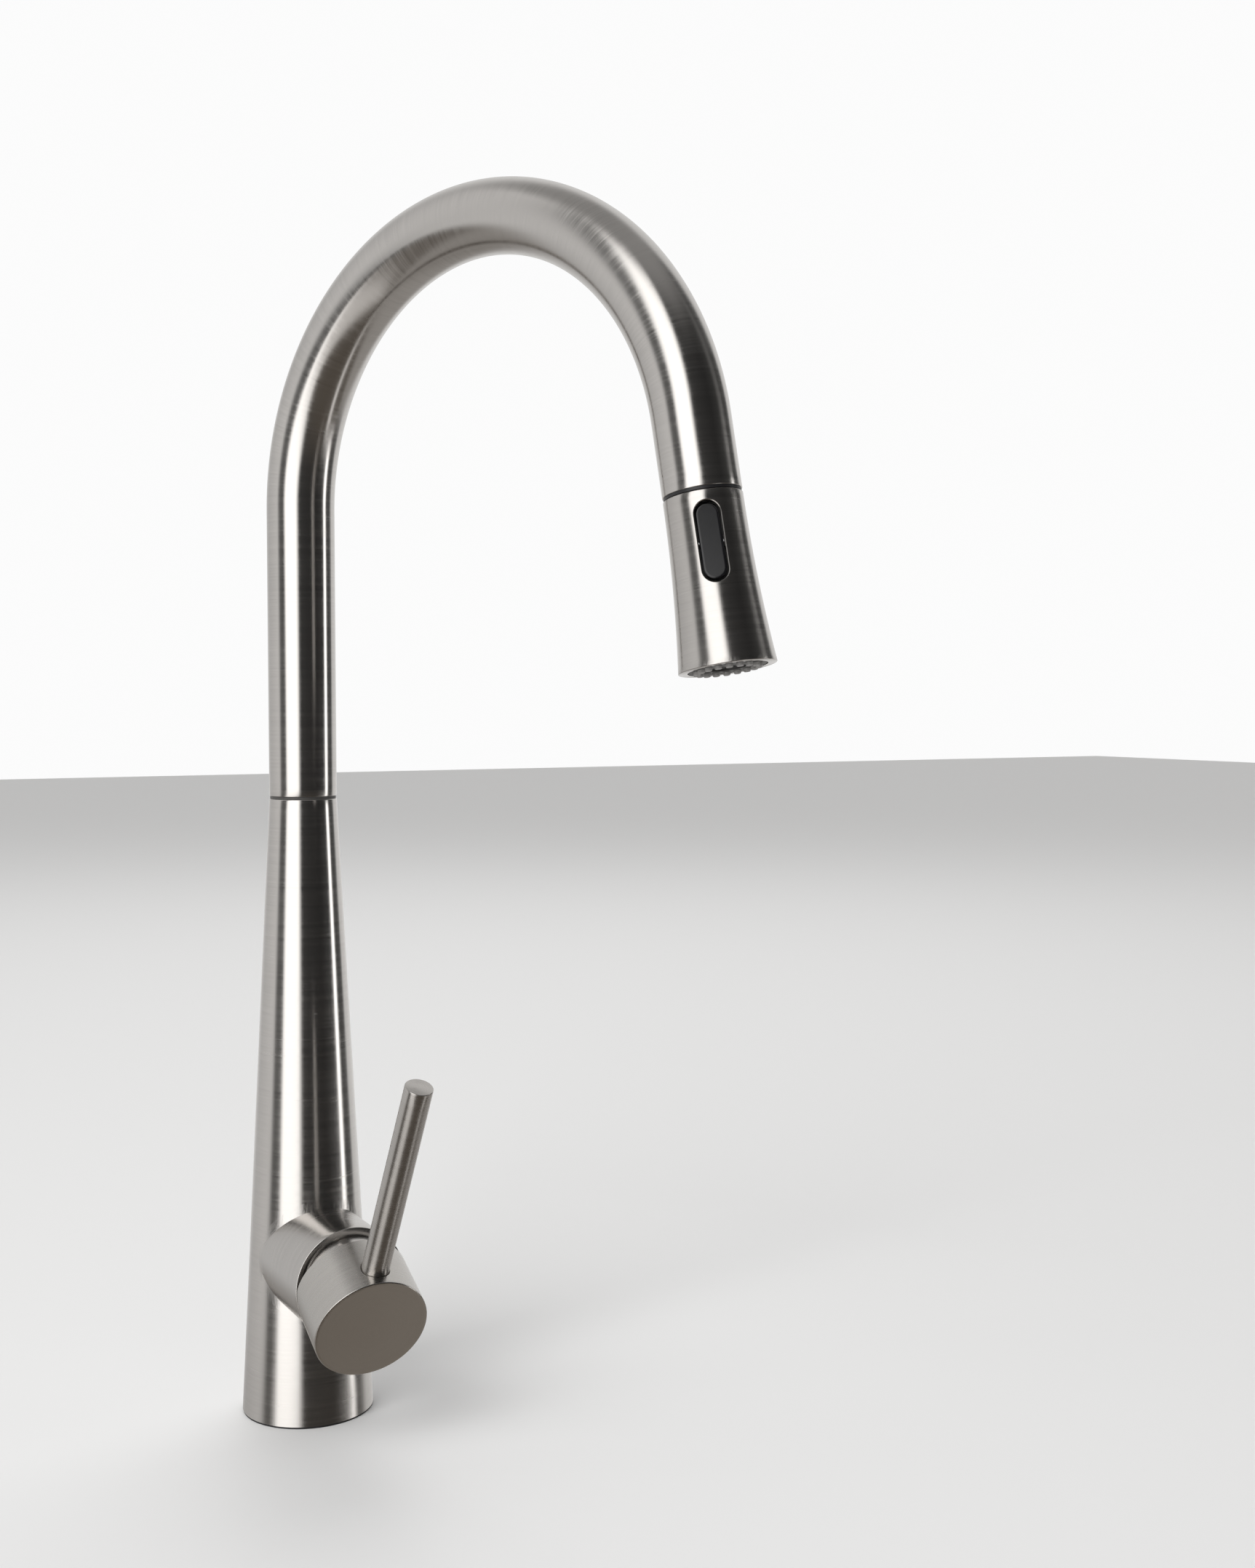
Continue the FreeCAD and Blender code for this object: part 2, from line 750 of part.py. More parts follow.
def make_handle_cap():
    """The round cap: cup, boss with the stem's socket, lever hole, and a rear cut in two planes."""
    body = new_body("handle_cap", cap_frame)
    rear = -1.0
    front_thickness = 2.6
    front_wall = s.cap_reach - front_thickness
    boss = 9.0
    boss_back = 14.5
    edge = 0.4
    past_cap = 2.0
    socket_depth = 18.0
    seat_depth = 5.5
    spigot_stop = 4.0
    screw_hole = 2.5
    turn(body, [
        (cap_inside, rear),
        (s.cap_radius, rear),
        (s.cap_radius, s.cap_reach - edge),
        (s.cap_radius - edge, s.cap_reach),
        (0, s.cap_reach),
        (0, boss_back),
        (boss, boss_back),
        (boss, front_wall),
        (cap_inside, front_wall),
    ])
    wide = s.cap_radius + past_cap
    slope = wide * tangent(s.lift_angle) + s.cap_gap / cosine(s.lift_angle)
    knee = s.cap_gap * tangent(half_lift)
    mill(body, "YZ_Plane", -wide, 2 * wide, [
        (-wide, -wide),
        (wide, -wide),
        (wide, s.cap_gap),
        (knee, s.cap_gap),
        (-wide, slope),
    ], True)
    socket = new_sketch(body, "XY_Plane", 0, X, -half_lift)
    grip = s.stem_half + s.fit_gap
    outline(socket, rectangle(-grip, grip, -grip, grip))
    pocket(body, socket, socket_depth, True)
    lever_hole = s.lever_radius + s.fit_gap
    drill(body, "XZ_Plane", -wide, seat_depth, [(0, s.lever_place, lever_hole)], True)
    spigot_start = cap_inside - 1
    drill(body, "XZ_Plane", -spigot_start, spigot_start - s.stem_half - spigot_stop,
          [(0, s.lever_place, spigot_radius + s.fit_gap)], True)
    drill(body, "XZ_Plane", wide, wide, [(0, s.lever_place, screw_hole)])


def make_lever():
    """The straight lever pin with its threaded spigot, standing in the cap."""
    body = new_body("lever", cap_frame, (0, 0, s.lever_place), X, -90)
    seat_inset = 0.8
    spigot_clear = 6.2
    edge = 0.35
    shoulder = cap_inside - seat_inset
    spigot_foot = s.stem_half + spigot_clear
    turn(body, [
        (0, spigot_foot),
        (spigot_radius, spigot_foot),
        (spigot_radius, shoulder),
        (s.lever_radius, shoulder),
        (s.lever_radius, s.lever_tip - edge),
        (s.lever_radius - edge, s.lever_tip),
        (0, s.lever_tip),
    ])


def make_set_screw():
    """The grub screw under the cap that locks the stem."""
    body = new_body("set_screw", cap_frame, (0, 0, s.lever_place), X, 90)
    screw_radius = 2.45
    screw_foot, screw_end = 1.5, 9.0
    turn(body, rectangle(0, screw_radius, screw_foot, screw_end))


# ---------------------------------------------------------------- spout

def make_spout_tube():
    """The gooseneck: a straight riser, a circular arch and a short straight tail."""
    body = new_body("spout_tube", spout_frame)
    sweep_arch(body, tube_foot, s.tail_length, [s.tube_radius, tube_inside])


def sweep_arch(body, foot, tail, radii):
    """Sweeps circles from a foot height up the riser, over the arch and down the tail."""
    bend = math.radians(s.arch_angle.value)
    reach = s.arch_radius.value
    start = s.arch_start.value
    top = FreeCAD.Vector(0, start, 0)
    centre = FreeCAD.Vector(reach, start, 0)
    arch_end = FreeCAD.Vector(reach - reach * math.cos(bend), start + reach * math.sin(bend), 0)
    run = FreeCAD.Vector(math.sin(bend), math.cos(bend), 0)
    path = new_sketch(body, "XZ_Plane")
    path.addGeometry(Part.LineSegment(FreeCAD.Vector(0, foot.value, 0), top), False)
    circle = Part.Circle(centre, FreeCAD.Vector(0, 0, 1), reach)
    path.addGeometry(Part.ArcOfCircle(circle, math.pi - bend, math.pi), False)
    tail_end = arch_end + run * as_size(tail).value
    path.addGeometry(Part.LineSegment(arch_end, tail_end), False)
    path.addConstraint(Sketcher.Constraint("Coincident", 0, 2, 1, 2))
    path.addConstraint(Sketcher.Constraint("Coincident", 1, 1, 2, 1))
    fix_point(path, 0, 1, 0, foot)
    fix_point(path, 1, 3, s.arch_radius, s.arch_start)
    fix_point(path, 0, 2, 0, s.arch_start)
    end_across = s.arch_radius * (1 - cosine(s.arch_angle))
    end_along = s.arch_start + s.arch_radius * sine(s.arch_angle)
    bind(path, Sketcher.Constraint("DistanceX", -1, 1, 1, 1, end_across.value), end_across)
    fix_point(path, 2, 2, end_across + tail * sine(s.arch_angle),
              end_along + tail * cosine(s.arch_angle))
    section = new_sketch(body, "XY_Plane", foot)
    circles(section, [(0, 0, radius) for radius in radii])
    pipe = body.newObject("PartDesign::AdditivePipe", "%s_sweep" % body.Name)
    pipe.Profile = section
    pipe.Spine = (path, ["Edge1", "Edge2", "Edge3"])


def make_swivel():
    """The sleeve that turns in the neck, with its bushes, rings, washer and retaining ring."""
    below_bearing = 4.0
    groove_rise = 1.0
    groove_width = 1.4
    groove_depth = 1.0
    spigot_height = 13.0
    ring_bite = 1.0
    washer_inset = 0.35
    bush_height = 9.0
    upper_bush_depth = 11.0
    lower_bush_rise = 1.0
    friction_low, friction_high = 16.0, 13.5
    bore = s.sleeve_radius - s.sleeve_wall
    foot = s.neck_height - s.bearing_height - below_bearing
    groove_low = foot + groove_rise
    groove_high = groove_low + groove_width
    groove_radius = s.sleeve_radius - groove_depth
    seat = tube_inside - s.fit_gap
    sleeve = new_body("spout_sleeve", spout_frame)
    turn(sleeve, [
        (bore, foot),
        (s.sleeve_radius, foot),
        (s.sleeve_radius, groove_low),
        (groove_radius, groove_low),
        (groove_radius, groove_high),
        (s.sleeve_radius, groove_high),
        (s.sleeve_radius, tube_foot),
        (seat, tube_foot),
        (seat, tube_foot + spigot_height),
        (bore, tube_foot + spigot_height),
    ])
    ring("snap_ring", spout_frame, groove_radius + s.fit_gap, s.bearing_bore + ring_bite,
         groove_low + s.run_gap, groove_high - s.run_gap)
    ring("glide_washer", deck_frame, s.sleeve_radius + s.run_gap, s.tube_radius - washer_inset,
         s.neck_height, tube_foot - s.run_gap)
    bush_inner = s.sleeve_radius + s.run_gap
    bush_outer = s.bearing_bore - s.fit_gap
    bush_places = {
        "upper_bush": s.neck_height - upper_bush_depth,
        "lower_bush": s.neck_height - s.bearing_height + lower_bush_rise,
    }
    for name, low in bush_places.items():
        ring(name, deck_frame, bush_inner, bush_outer, low, low + bush_height)
    ring("friction_ring", deck_frame, bush_inner, bush_outer,
         s.neck_height - friction_low, s.neck_height - friction_high)


def make_dock():
    """The black collar in the mouth of the spout and the magnet it holds."""
    collar = new_body("dock_collar", docked_frame)
    inside = 10.0
    lip_inset = 0.35
    inner_wall = 0.7
    collar_end = -9.0
    magnet_end = -7.5
    flange_back = -1.5
    seat = tube_inside - s.fit_gap
    lip = s.tube_radius - lip_inset
    turn(collar, [
        (inside, collar_end),
        (inside + inner_wall, collar_end),
        (inside + inner_wall, flange_back),
        (seat, flange_back),
        (seat, 0),
        (lip, 0),
        (lip, s.collar_lip),
        (inside, s.collar_lip),
    ])
    ring("dock_magnet", docked_frame, inside + inner_wall + s.fit_gap, seat,
         magnet_end, flange_back)


# Bore of both hose fittings, and where the hose nut's flange stands in the spout.
fitting_bore = 2.6
flange_low, flange_high = -9.0, -7.0


def make_hose():
    """The pull out hose, held along the spout and the body down to the shank's end."""
    hose = new_body("pull_hose", spout_frame)
    sweep_arch(hose, -s.shank_end, s.tail_length - s.hose_end, [s.hose_radius, s.hose_bore])
    nipple = new_body("hose_inlet", spout_frame)
    thread = 5.0
    top = -s.shank_end
    foot = top - 20
    collar = top - 4
    barb_end = top + 10
    barb = s.hose_bore - s.run_gap
    turn(nipple, [
        (fitting_bore, foot),
        (thread, foot),
        (thread, collar),
        (s.hose_radius, collar),
        (s.hose_radius, top),
        (barb, top),
        (barb, barb_end),
        (fitting_bore, barb_end),
    ])


def make_hose_end():
    """The crimped ferrule and the flanged tail that the head's nut holds."""
    ferrule_wall = 0.9
    ferrule_length = 9.0
    ferrule_inset = 0.2
    collar_thickness = 1.6
    neck = 5.0
    flange = 7.2
    end = -s.hose_end
    sleeve = s.hose_radius + s.run_gap
    rim = sleeve + ferrule_wall
    barb = s.hose_bore - s.run_gap
    ferrule_foot = end - ferrule_length
    collar_top = end + collar_thickness
    ferrule = new_body("hose_ferrule", docked_frame)
    turn(ferrule, rectangle(sleeve, rim, ferrule_foot, end - ferrule_inset))
    tail = new_body("hose_tail", docked_frame)
    turn(tail, [
        (fitting_bore, ferrule_foot),
        (barb, ferrule_foot),
        (barb, end + s.fit_gap),
        (rim, end + s.fit_gap),
        (rim, collar_top),
        (neck, collar_top),
        (neck, flange_low),
        (flange, flange_low),
        (flange, flange_high),
        (fitting_bore, flange_high),
    ])


# ---------------------------------------------------------------- spray head

# Stations below the spout's end that the head's pieces share, and the rocker pin's radius.
core_top = 5.0
core_floor = 36.0
core_end = 46.0
head_top_wall = 1.3
rocker_pin_radius = 0.8


def make_head_shell():
    """The flared steel shell with its rim turned in and the slot for the rocker."""
    body = new_body("head_shell", head_frame)
    top_hole = 9.85
    rim = 1.0
    end_gap, side_gap = 0.6, 0.5
    flare = s.head_end_radius - s.tube_radius
    arc = (s.head_length * s.head_length + flare * flare) / (2 * flare)
    inner_top = s.tube_radius - s.head_wall
    inner_bottom = s.head_end_radius - s.head_wall
    inner_length = s.head_length - head_top_wall - rim
    inner_arc = (inner_length * inner_length + flare * flare) / (2 * flare)
    turn(body, [
        (top_hole, head_top),
        (s.tube_radius, head_top),
        (s.head_end_radius, head_bottom),
        (s.face_bore, head_bottom),
        (s.face_bore, head_bottom - rim),
        (inner_bottom, head_bottom - rim),
        (inner_top, head_top + head_top_wall),
        (top_hole, head_top + head_top_wall),
    ], {1: (arc, 1), 5: (inner_arc, -1)})
    slot = new_sketch(body, "YZ_Plane", 0)
    slot.setExpression("AttachmentOffset", placement_text((0, s.rocker_place, 0), X, 0))
    oblong(slot, s.rocker_half_length + end_gap, s.rocker_half_width + side_gap)
    pocket(body, slot, s.head_end_radius, True)


def make_head_core():
    """The head's waterway: threaded neck, spool bore, rocker recess and two outlet chambers."""
    body = new_body("head_core", head_frame)
    thread = 7.2
    thread_end = -4.0
    bore = 4.6
    outside = core_radius
    ring_outer = core_radius - 1.8
    ring_inner = 6.4
    ring_floor = core_floor + 1
    middle_bore = 5.0
    turn(body, [
        (bore, thread_end),
        (thread, thread_end),
        (thread, core_top),
        (outside, core_top),
        (outside, core_end),
        (ring_outer, core_end),
        (ring_outer, ring_floor),
        (ring_inner, ring_floor),
        (ring_inner, core_end),
        (middle_bore, core_end),
        (middle_bore, core_floor),
        (bore, core_floor),
    ])
    flat = 8.6
    end_gap = 1.6
    reach = s.rocker_half_length + end_gap
    recess_low = s.rocker_place - reach
    recess_high = s.rocker_place + reach
    mill(body, "XZ_Plane", -outside, 2 * outside,
         rectangle(flat, outside + 1, recess_low, recess_high), True)
    ear_inner = s.rocker_half_width + s.free_gap
    ear_wide = 0.9
    ear_half = 2.0
    ear_over_pin = 0.95
    pin_gap = 0.02
    for low in (ear_inner, -ear_inner - ear_wide):
        ear = new_sketch(body, "XY_Plane", s.rocker_place - ear_half)
        outline(ear, rectangle(flat - 1, s.rocker_pin + ear_over_pin, low, low + ear_wide))
        pad(body, ear, 2 * ear_half)
    drill(body, "XZ_Plane", -outside, 2 * outside,
          [(s.rocker_pin, s.rocker_place, rocker_pin_radius + pin_gap)], True)
    window_half_wide, window_half_long = 2.3, 2.6
    mill(body, "YZ_Plane", bore - 1, outside - bore,
         rectangle(-window_half_wide, window_half_wide, s.rocker_place - window_half_long,
                   s.rocker_place + window_half_long), True)


def make_head_inlet():
    """The neck that docks in the spout, the hose nut, its washer and the head's magnet."""
    neck_inside, neck_outside, neck_end = 8.8, 9.7, -8.5
    nut_hole, nut_thread, nut_outside = 5.15, 7.3, 8.5
    nut_wall = 1.5
    washer_bore, washer_rim = 2.7, 7.15
    washer_end = -4.0
    magnet_inside, magnet_outside, magnet_height = 9.9, 12.2, 2.0
    nut_floor = flange_low - s.run_gap
    nut_low = nut_floor - nut_wall
    nut_high = core_top - s.run_gap
    ring("dock_neck", head_frame, neck_inside, neck_outside, neck_end, core_top - s.fit_gap)
    nut = new_body("hose_nut", head_frame)
    turn(nut, [
        (nut_hole, nut_low),
        (nut_outside, nut_low),
        (nut_outside, nut_high),
        (nut_thread, nut_high),
        (nut_thread, nut_floor),
        (nut_hole, nut_floor),
    ])
    ring("inlet_washer", head_frame, washer_bore, washer_rim,
         flange_high + s.run_gap, washer_end)
    magnet_low = head_top + head_top_wall
    ring("head_magnet", head_frame, magnet_inside, magnet_outside,
         magnet_low, magnet_low + magnet_height)


def make_spray_face():
    """The face plate with its holes, the rubber nozzles, and the aerator in the middle."""
    face_inset = 0.1
    face_thickness = 3.2
    centre_hole = 7.8
    skirt_foot = core_end - 2
    seat = core_end + 1.6
    seat_floor = core_end + 3
    seat_bore = core_radius - 1.6
    skirt_bore = core_radius + 0.2
    chamber = 12.6
    face = head_bottom - face_inset
    plate_back = face - face_thickness
    edge = s.face_bore - s.free_gap
    plate = new_body("spray_plate", head_frame)
    turn(plate, [
        (skirt_bore, skirt_foot),
        (edge, skirt_foot),
        (edge, face),
        (centre_hole, face),
        (centre_hole, plate_back),
        (chamber, plate_back),
        (chamber, seat_floor),
        (seat_bore, seat_floor),
        (seat_bore, seat),
        (skirt_bore, seat),
    ])
    holes = new_sketch(plate, "XY_Plane", face)
    circles(holes, [(s.nozzle_circle, 0, s.nozzle_radius + s.fit_gap)])
    around(pocket(plate, holes, face_thickness + s.free_gap), plate, s.nozzle_count)

    mat_thickness = 1.5
    nub_root = 0.5
    nub_length = 5.0
    mat_top = plate_back - s.fit_gap
    mat = new_body("nozzle_mat", head_frame)
    turn(mat, rectangle(centre_hole + 0.2, chamber - s.run_gap, mat_top - mat_thickness, mat_top))
    nub = new_sketch(mat, "XY_Plane", mat_top - nub_root)
    circles(nub, [(s.nozzle_circle, 0, s.nozzle_radius)])
    around(pad(mat, nub, nub_length), mat, s.nozzle_count)

    ring("face_gasket", head_frame, seat_bore + s.fit_gap, core_radius - s.fit_gap,
         core_end + s.fit_gap, seat - s.fit_gap)
    housing_inside, housing_outside = 6.6, 7.6
    insert_length, insert_inset = 5.0, 0.8
    hole_radius = 0.95
    ring("aerator_housing", head_frame, housing_inside, housing_outside, core_end, face)
    insert = new_body("aerator_insert", head_frame)
    turn(insert, rectangle(0, housing_inside - s.fit_gap, face - insert_length,
                           face - insert_inset))
    for circle, count in ((2.4, 6), (4.9, 12)):
        holes = new_sketch(insert, "XY_Plane", face)
        circles(holes, [(circle, 0, hole_radius)])
        around(pocket(insert, holes, insert_length + 1), insert, as_size(count))


def make_rocker():
    """The rocker with a dished face, its finger and its pin."""
    rocker_frame = frame("rocker_frame", head_frame, (s.rocker_pin, 0, s.rocker_place),
                         Y, s.rocker_tilt)
    body = new_body("rocker_button", rocker_frame)
    back = 1.1
    rim = 2.9
    dish = 185.0
    plate = new_sketch(body, "YZ_Plane", back)
    oblong(plate, s.rocker_half_length, s.rocker_half_width)
    pad(body, plate, rim - back)
    hollow = new_sketch(body, "XZ_Plane", -s.rocker_half_width - 1)
    far = s.rocker_half_length
    outline(hollow, [(rim, -far), (rim + 1, -far), (rim + 1, far), (rim, far)],
            {3: (as_size(dish), -1)})
    pocket(body, hollow, 2 * s.rocker_half_width + 2, True)
    hub_half_wide, hub_half_long = 3.2, 1.5
    finger_half_wide, finger_half_long = 1.8, 1.4
    finger_past_arm = 0.6
    half_hole = 5.0
    hub = new_sketch(body, "XZ_Plane", -hub_half_wide)
    outline(hub, rectangle(-back, back + s.free_gap, -hub_half_long, hub_half_long))
    pad(body, hub, 2 * hub_half_wide)
    finger = new_sketch(body, "XZ_Plane", -finger_half_wide)
    outline(finger, rectangle(-s.finger_arm - finger_past_arm, 0,
                              -finger_half_long, finger_half_long))
    pad(body, finger, 2 * finger_half_wide)
    drill(body, "XZ_Plane", -half_hole, 2 * half_hole,
          [(0, 0, rocker_pin_radius + s.fit_gap)], True)

    pin = new_body("rocker_pin", head_frame)
    pin_half = s.rocker_half_width + 1.4
    pin_sketch = new_sketch(pin, "XZ_Plane", -pin_half)
    circles(pin_sketch, [(s.rocker_pin, s.rocker_place, rocker_pin_radius)])
    pad(pin, pin_sketch, 2 * pin_half)


def make_diverter():
    """The spool that the rocker's finger slides, and its two rings."""
    radius = s.spool_radius
    bore = 1.8
    shift = s.finger_arm * sine(s.rocker_tilt)
    half = 9.0
    catch, catch_deep = 1.7, 2.8
    groove, groove_deep = 0.7, 3.35
    ring_half = 0.6
    ring_inside, ring_outside = 3.4, 4.55
    ring_places = (-6.5, 6.5)
    spool = new_body("diverter_spool", head_frame, (0, 0, s.rocker_place + shift))
    points = [(bore, -half), (radius, -half)]
    for middle, deep, reach in ((ring_places[0], groove_deep, groove), (0, catch_deep, catch),
                                (ring_places[1], groove_deep, groove)):
        points += [(radius, middle - reach), (deep, middle - reach),
                   (deep, middle + reach), (radius, middle + reach)]
    points += [(radius, half), (bore, half)]
    turn(spool, points)
    rings = new_body("spool_rings", head_frame, (0, 0, s.rocker_place + shift))
    for middle in ring_places:
        turn(rings, rectangle(ring_inside, ring_outside, middle - ring_half, middle + ring_half))


# ---------------------------------------------------------------- build and write

make_body_shell()
make_base()
make_deck_fixing()
make_valve_body()
make_supply_tubes()
make_cartridge_case()
make_dome_ring()
make_mixer_moving()
make_stem()
make_handle_cap()
make_lever()
make_set_screw()
make_spout_tube()
make_swivel()
make_dock()
make_hose()
make_hose_end()
make_head_shell()
make_head_core()
make_head_inlet()
make_spray_face()
make_rocker()
make_diverter()
document.recompute()

for made in document.Objects:
    if "Invalid" in made.State or "Error" in made.State:
        raise ValueError("%s failed: %s" % (made.Name, made.State))
for body in MADE:
    if body.Shape.isNull() or not body.Shape.isValid():
        raise ValueError("%s has no valid shape" % body.Label)

hose_run = (s.shank_end + s.arch_start + s.arch_radius * s.arch_angle * (math.pi / 180)
            + s.tail_length - s.hose_end)
hose_section = math.pi * (s.hose_radius.value ** 2 - s.hose_bore.value ** 2)
hose_volume = document.getObject("pull_hose").Shape.Volume
print("hose %.1f mm, volume ratio %.5f" % (hose_run.value, hose_volume / hose_section / hose_run.value))

os.makedirs("parts", exist_ok=True)
for body in MADE:
    body.Shape.exportStep("parts/%s.step" % body.Label)
print("%d parts written" % len(MADE))
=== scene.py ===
import json
import math

import bmesh
import bpy
import numpy as np
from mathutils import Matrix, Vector


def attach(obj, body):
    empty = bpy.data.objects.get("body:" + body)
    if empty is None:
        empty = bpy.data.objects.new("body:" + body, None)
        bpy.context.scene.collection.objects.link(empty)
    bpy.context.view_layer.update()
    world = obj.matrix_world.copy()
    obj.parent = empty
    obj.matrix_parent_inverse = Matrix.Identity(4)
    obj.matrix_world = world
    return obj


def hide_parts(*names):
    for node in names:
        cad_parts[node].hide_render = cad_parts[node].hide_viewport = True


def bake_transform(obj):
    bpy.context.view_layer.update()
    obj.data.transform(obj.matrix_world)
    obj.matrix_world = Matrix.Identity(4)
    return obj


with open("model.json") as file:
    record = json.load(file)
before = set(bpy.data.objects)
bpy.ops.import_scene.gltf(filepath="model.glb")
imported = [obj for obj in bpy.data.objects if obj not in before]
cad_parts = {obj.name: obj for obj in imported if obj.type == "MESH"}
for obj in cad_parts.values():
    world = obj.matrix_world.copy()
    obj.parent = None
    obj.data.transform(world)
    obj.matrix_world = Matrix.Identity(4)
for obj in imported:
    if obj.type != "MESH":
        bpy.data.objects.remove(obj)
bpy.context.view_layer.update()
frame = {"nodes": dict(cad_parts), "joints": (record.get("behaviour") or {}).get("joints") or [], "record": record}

# ---------------------------------------------------------------- sizes in metres, angles in degrees

MM = 0.001
BASE_RADIUS = 27.5 * MM
NECK_HEIGHT = 260 * MM
SHELL_WALL = 2.5 * MM
GASKET_TOP = 0.8 * MM
NECK_BORE = 11.4 * MM
BEARING_FOOT = 222 * MM
TUBE_RADIUS = 14 * MM
TUBE_WALL = 1.3 * MM
TUBE_FOOT = 261.2 * MM
ARCH_START = 380 * MM
ARCH_RADIUS = 104 * MM
ARCH_ANGLE = math.radians(169.5)
TAIL_LENGTH = 26.4 * MM
BRANCH_RADIUS = 23 * MM
BRANCH_WALL = 2.6 * MM
BRANCH_REACH = 54.5 * MM
CAP_RADIUS = 22.8 * MM
CAP_REACH = 26.5 * MM
CAP_WALL = 2.3 * MM
CAP_GAP = 0.6 * MM
LEVER_RADIUS = 5.5 * MM
LEVER_PLACE = 17.4 * MM
LEVER_TIP = 107 * MM
LIFT_ANGLE = math.radians(24)
DOME_RADIUS = 19.8 * MM
HEAD_TOP = 1.3 * MM
HEAD_LENGTH = 60 * MM
HEAD_END_RADIUS = 17.25 * MM
HEAD_WALL = 1.6 * MM
HEAD_TOP_WALL = 1.3 * MM
HEAD_RIM = 1 * MM
FACE_BORE = 14 * MM
ROCKER_PLACE = 19.2 * MM
ROCKER_HALF_LENGTH = 13.6 * MM
ROCKER_HALF_WIDTH = 4.1 * MM
ROCKER_TILT = math.radians(7)
NOZZLE_COUNT = 18
NOZZLE_CIRCLE = 10.9 * MM
NOZZLE_RADIUS = 1.3 * MM
HOSE_RADIUS = 5.8 * MM
HOSE_TRAVEL = 0.45

JOINTS = {joint["name"]: joint for joint in frame["joints"]}


# ---------------------------------------------------------------- local axes of each group

def unit(vector):
    vector = np.asarray(vector, float)
    return vector / np.linalg.norm(vector)


class Axes:
    """A local frame: an origin and three unit axes, with points carried into the object's frame."""

    def __init__(self, origin, x, z):
        self.origin = np.asarray(origin, float)
        self.z = unit(z)
        self.x = unit(np.asarray(x, float) - np.dot(x, self.z) * self.z)
        self.y = np.cross(self.z, self.x)

    def carry(self, points):
        """origin + x-part times x + y-part times y + z-part times z."""
        points = np.asarray(points, float)
        return (self.origin + points[..., 0:1] * self.x + points[..., 1:2] * self.y
                + points[..., 2:3] * self.z)

    def turned_x(self, angle):
        """The same origin turned about the local x axis."""
        y = self.y * math.cos(angle) + self.z * math.sin(angle)
        z = np.cross(self.x, y)
        return Axes(self.origin, self.x, z)

    def turned_y(self, angle):
        """The same origin turned about the local y axis."""
        z = self.z * math.cos(angle) + self.x * math.sin(angle)
        x = np.cross(self.y, z)
        return Axes(self.origin, x, z)


head_axis = unit(JOINTS["pull_out"]["axis"])
spout_out = unit((head_axis[0], head_axis[1], 0))
SPOUT = Axes((0, 0, 0), spout_out, (0, 0, 1))
DOCK = Axes(JOINTS["head_turn"]["pos_m"], -spout_out, head_axis)
rocker_axis = unit(JOINTS["rocker_tilt"]["axis"])
HEAD = Axes(JOINTS["head_turn"]["pos_m"], np.cross(rocker_axis, head_axis), head_axis)
ROCKER = Axes(JOINTS["rocker_tilt"]["pos_m"], HEAD.x, HEAD.z).turned_y(ROCKER_TILT)
pivot = np.array(JOINTS["lever_lift"]["pos_m"])
pin_axis = unit(JOINTS["lever_lift"]["axis"])
MIXER = Axes(pivot, pin_axis, JOINTS["temperature_turn"]["axis"])
CAP = MIXER.turned_x(LIFT_ANGLE)
BRANCH_CENTRE = Axes((0, 0, pivot[2]), (1, 0, 0), (0, -1, 0))


# ---------------------------------------------------------------- surfaces

class Shape:
    """Vertices, faces and the grain coordinate of each vertex, gathered from several surfaces."""

    def __init__(self):
        self.points = []
        self.grain = []
        self.faces = []
        self.count = 0

    def add(self, points, grain, faces):
        self.points.append(np.asarray(points, float).reshape(-1, 3))
        self.grain.append(np.asarray(grain, float).reshape(-1, 3))
        self.faces += [tuple(int(corner) + self.count for corner in face) for face in faces]
        self.count += len(self.points[-1])


def strip_faces(rows, columns):
    """Quads between neighbouring closed rows of a grid."""
    row, column = np.meshgrid(np.arange(rows - 1), np.arange(columns), indexing="ij")
    after = (column + 1) % columns
    quads = np.stack([row * columns + column, row * columns + after,
                      (row + 1) * columns + after, (row + 1) * columns + column], axis=-1)
    return quads.reshape(-1, 4)


def add_loops(shape, loops, grain):
    """Skins a stack of closed loops of equally many points."""
    loops = np.asarray(loops, float)
    shape.add(loops, grain, strip_faces(loops.shape[0], loops.shape[1]))


def circle_angles(count):
    return np.arange(count) * 2 * math.pi / count


def on_circle(radius, angle, height):
    """Points (radius cos angle, radius sin angle, height), spread over each other's rows."""
    parts = np.broadcast_arrays(radius * np.cos(angle), radius * np.sin(angle), height)
    return np.stack(parts, axis=-1)


def path_lengths(profile):
    """The length run along a profile up to each of its points."""
    steps = np.linalg.norm(np.diff(profile, axis=0), axis=1)
    return np.concatenate([[0], np.cumsum(steps)])


def round_corner(before, corner, after, size, steps=4):
    """Points of an arc-like curve that cuts a corner: a quadratic curve through its two feet."""
    before, corner, after = (np.asarray(p, float) for p in (before, corner, after))
    first = corner + unit(before - corner) * size
    last = corner + unit(after - corner) * size
    t = np.linspace(0, 1, steps)[:, None]
    return (1 - t) ** 2 * first + 2 * t * (1 - t) * corner + t ** 2 * last


def rounded(profile, sizes):
    """A profile whose numbered corners are rounded by the given sizes."""
    out = []
    for index, point in enumerate(profile):
        size = sizes.get(index)
        if size:
            out.append(round_corner(profile[index - 1], point, profile[index + 1], size))
        else:
            out.append(np.array([point], float))
    return np.concatenate(out)


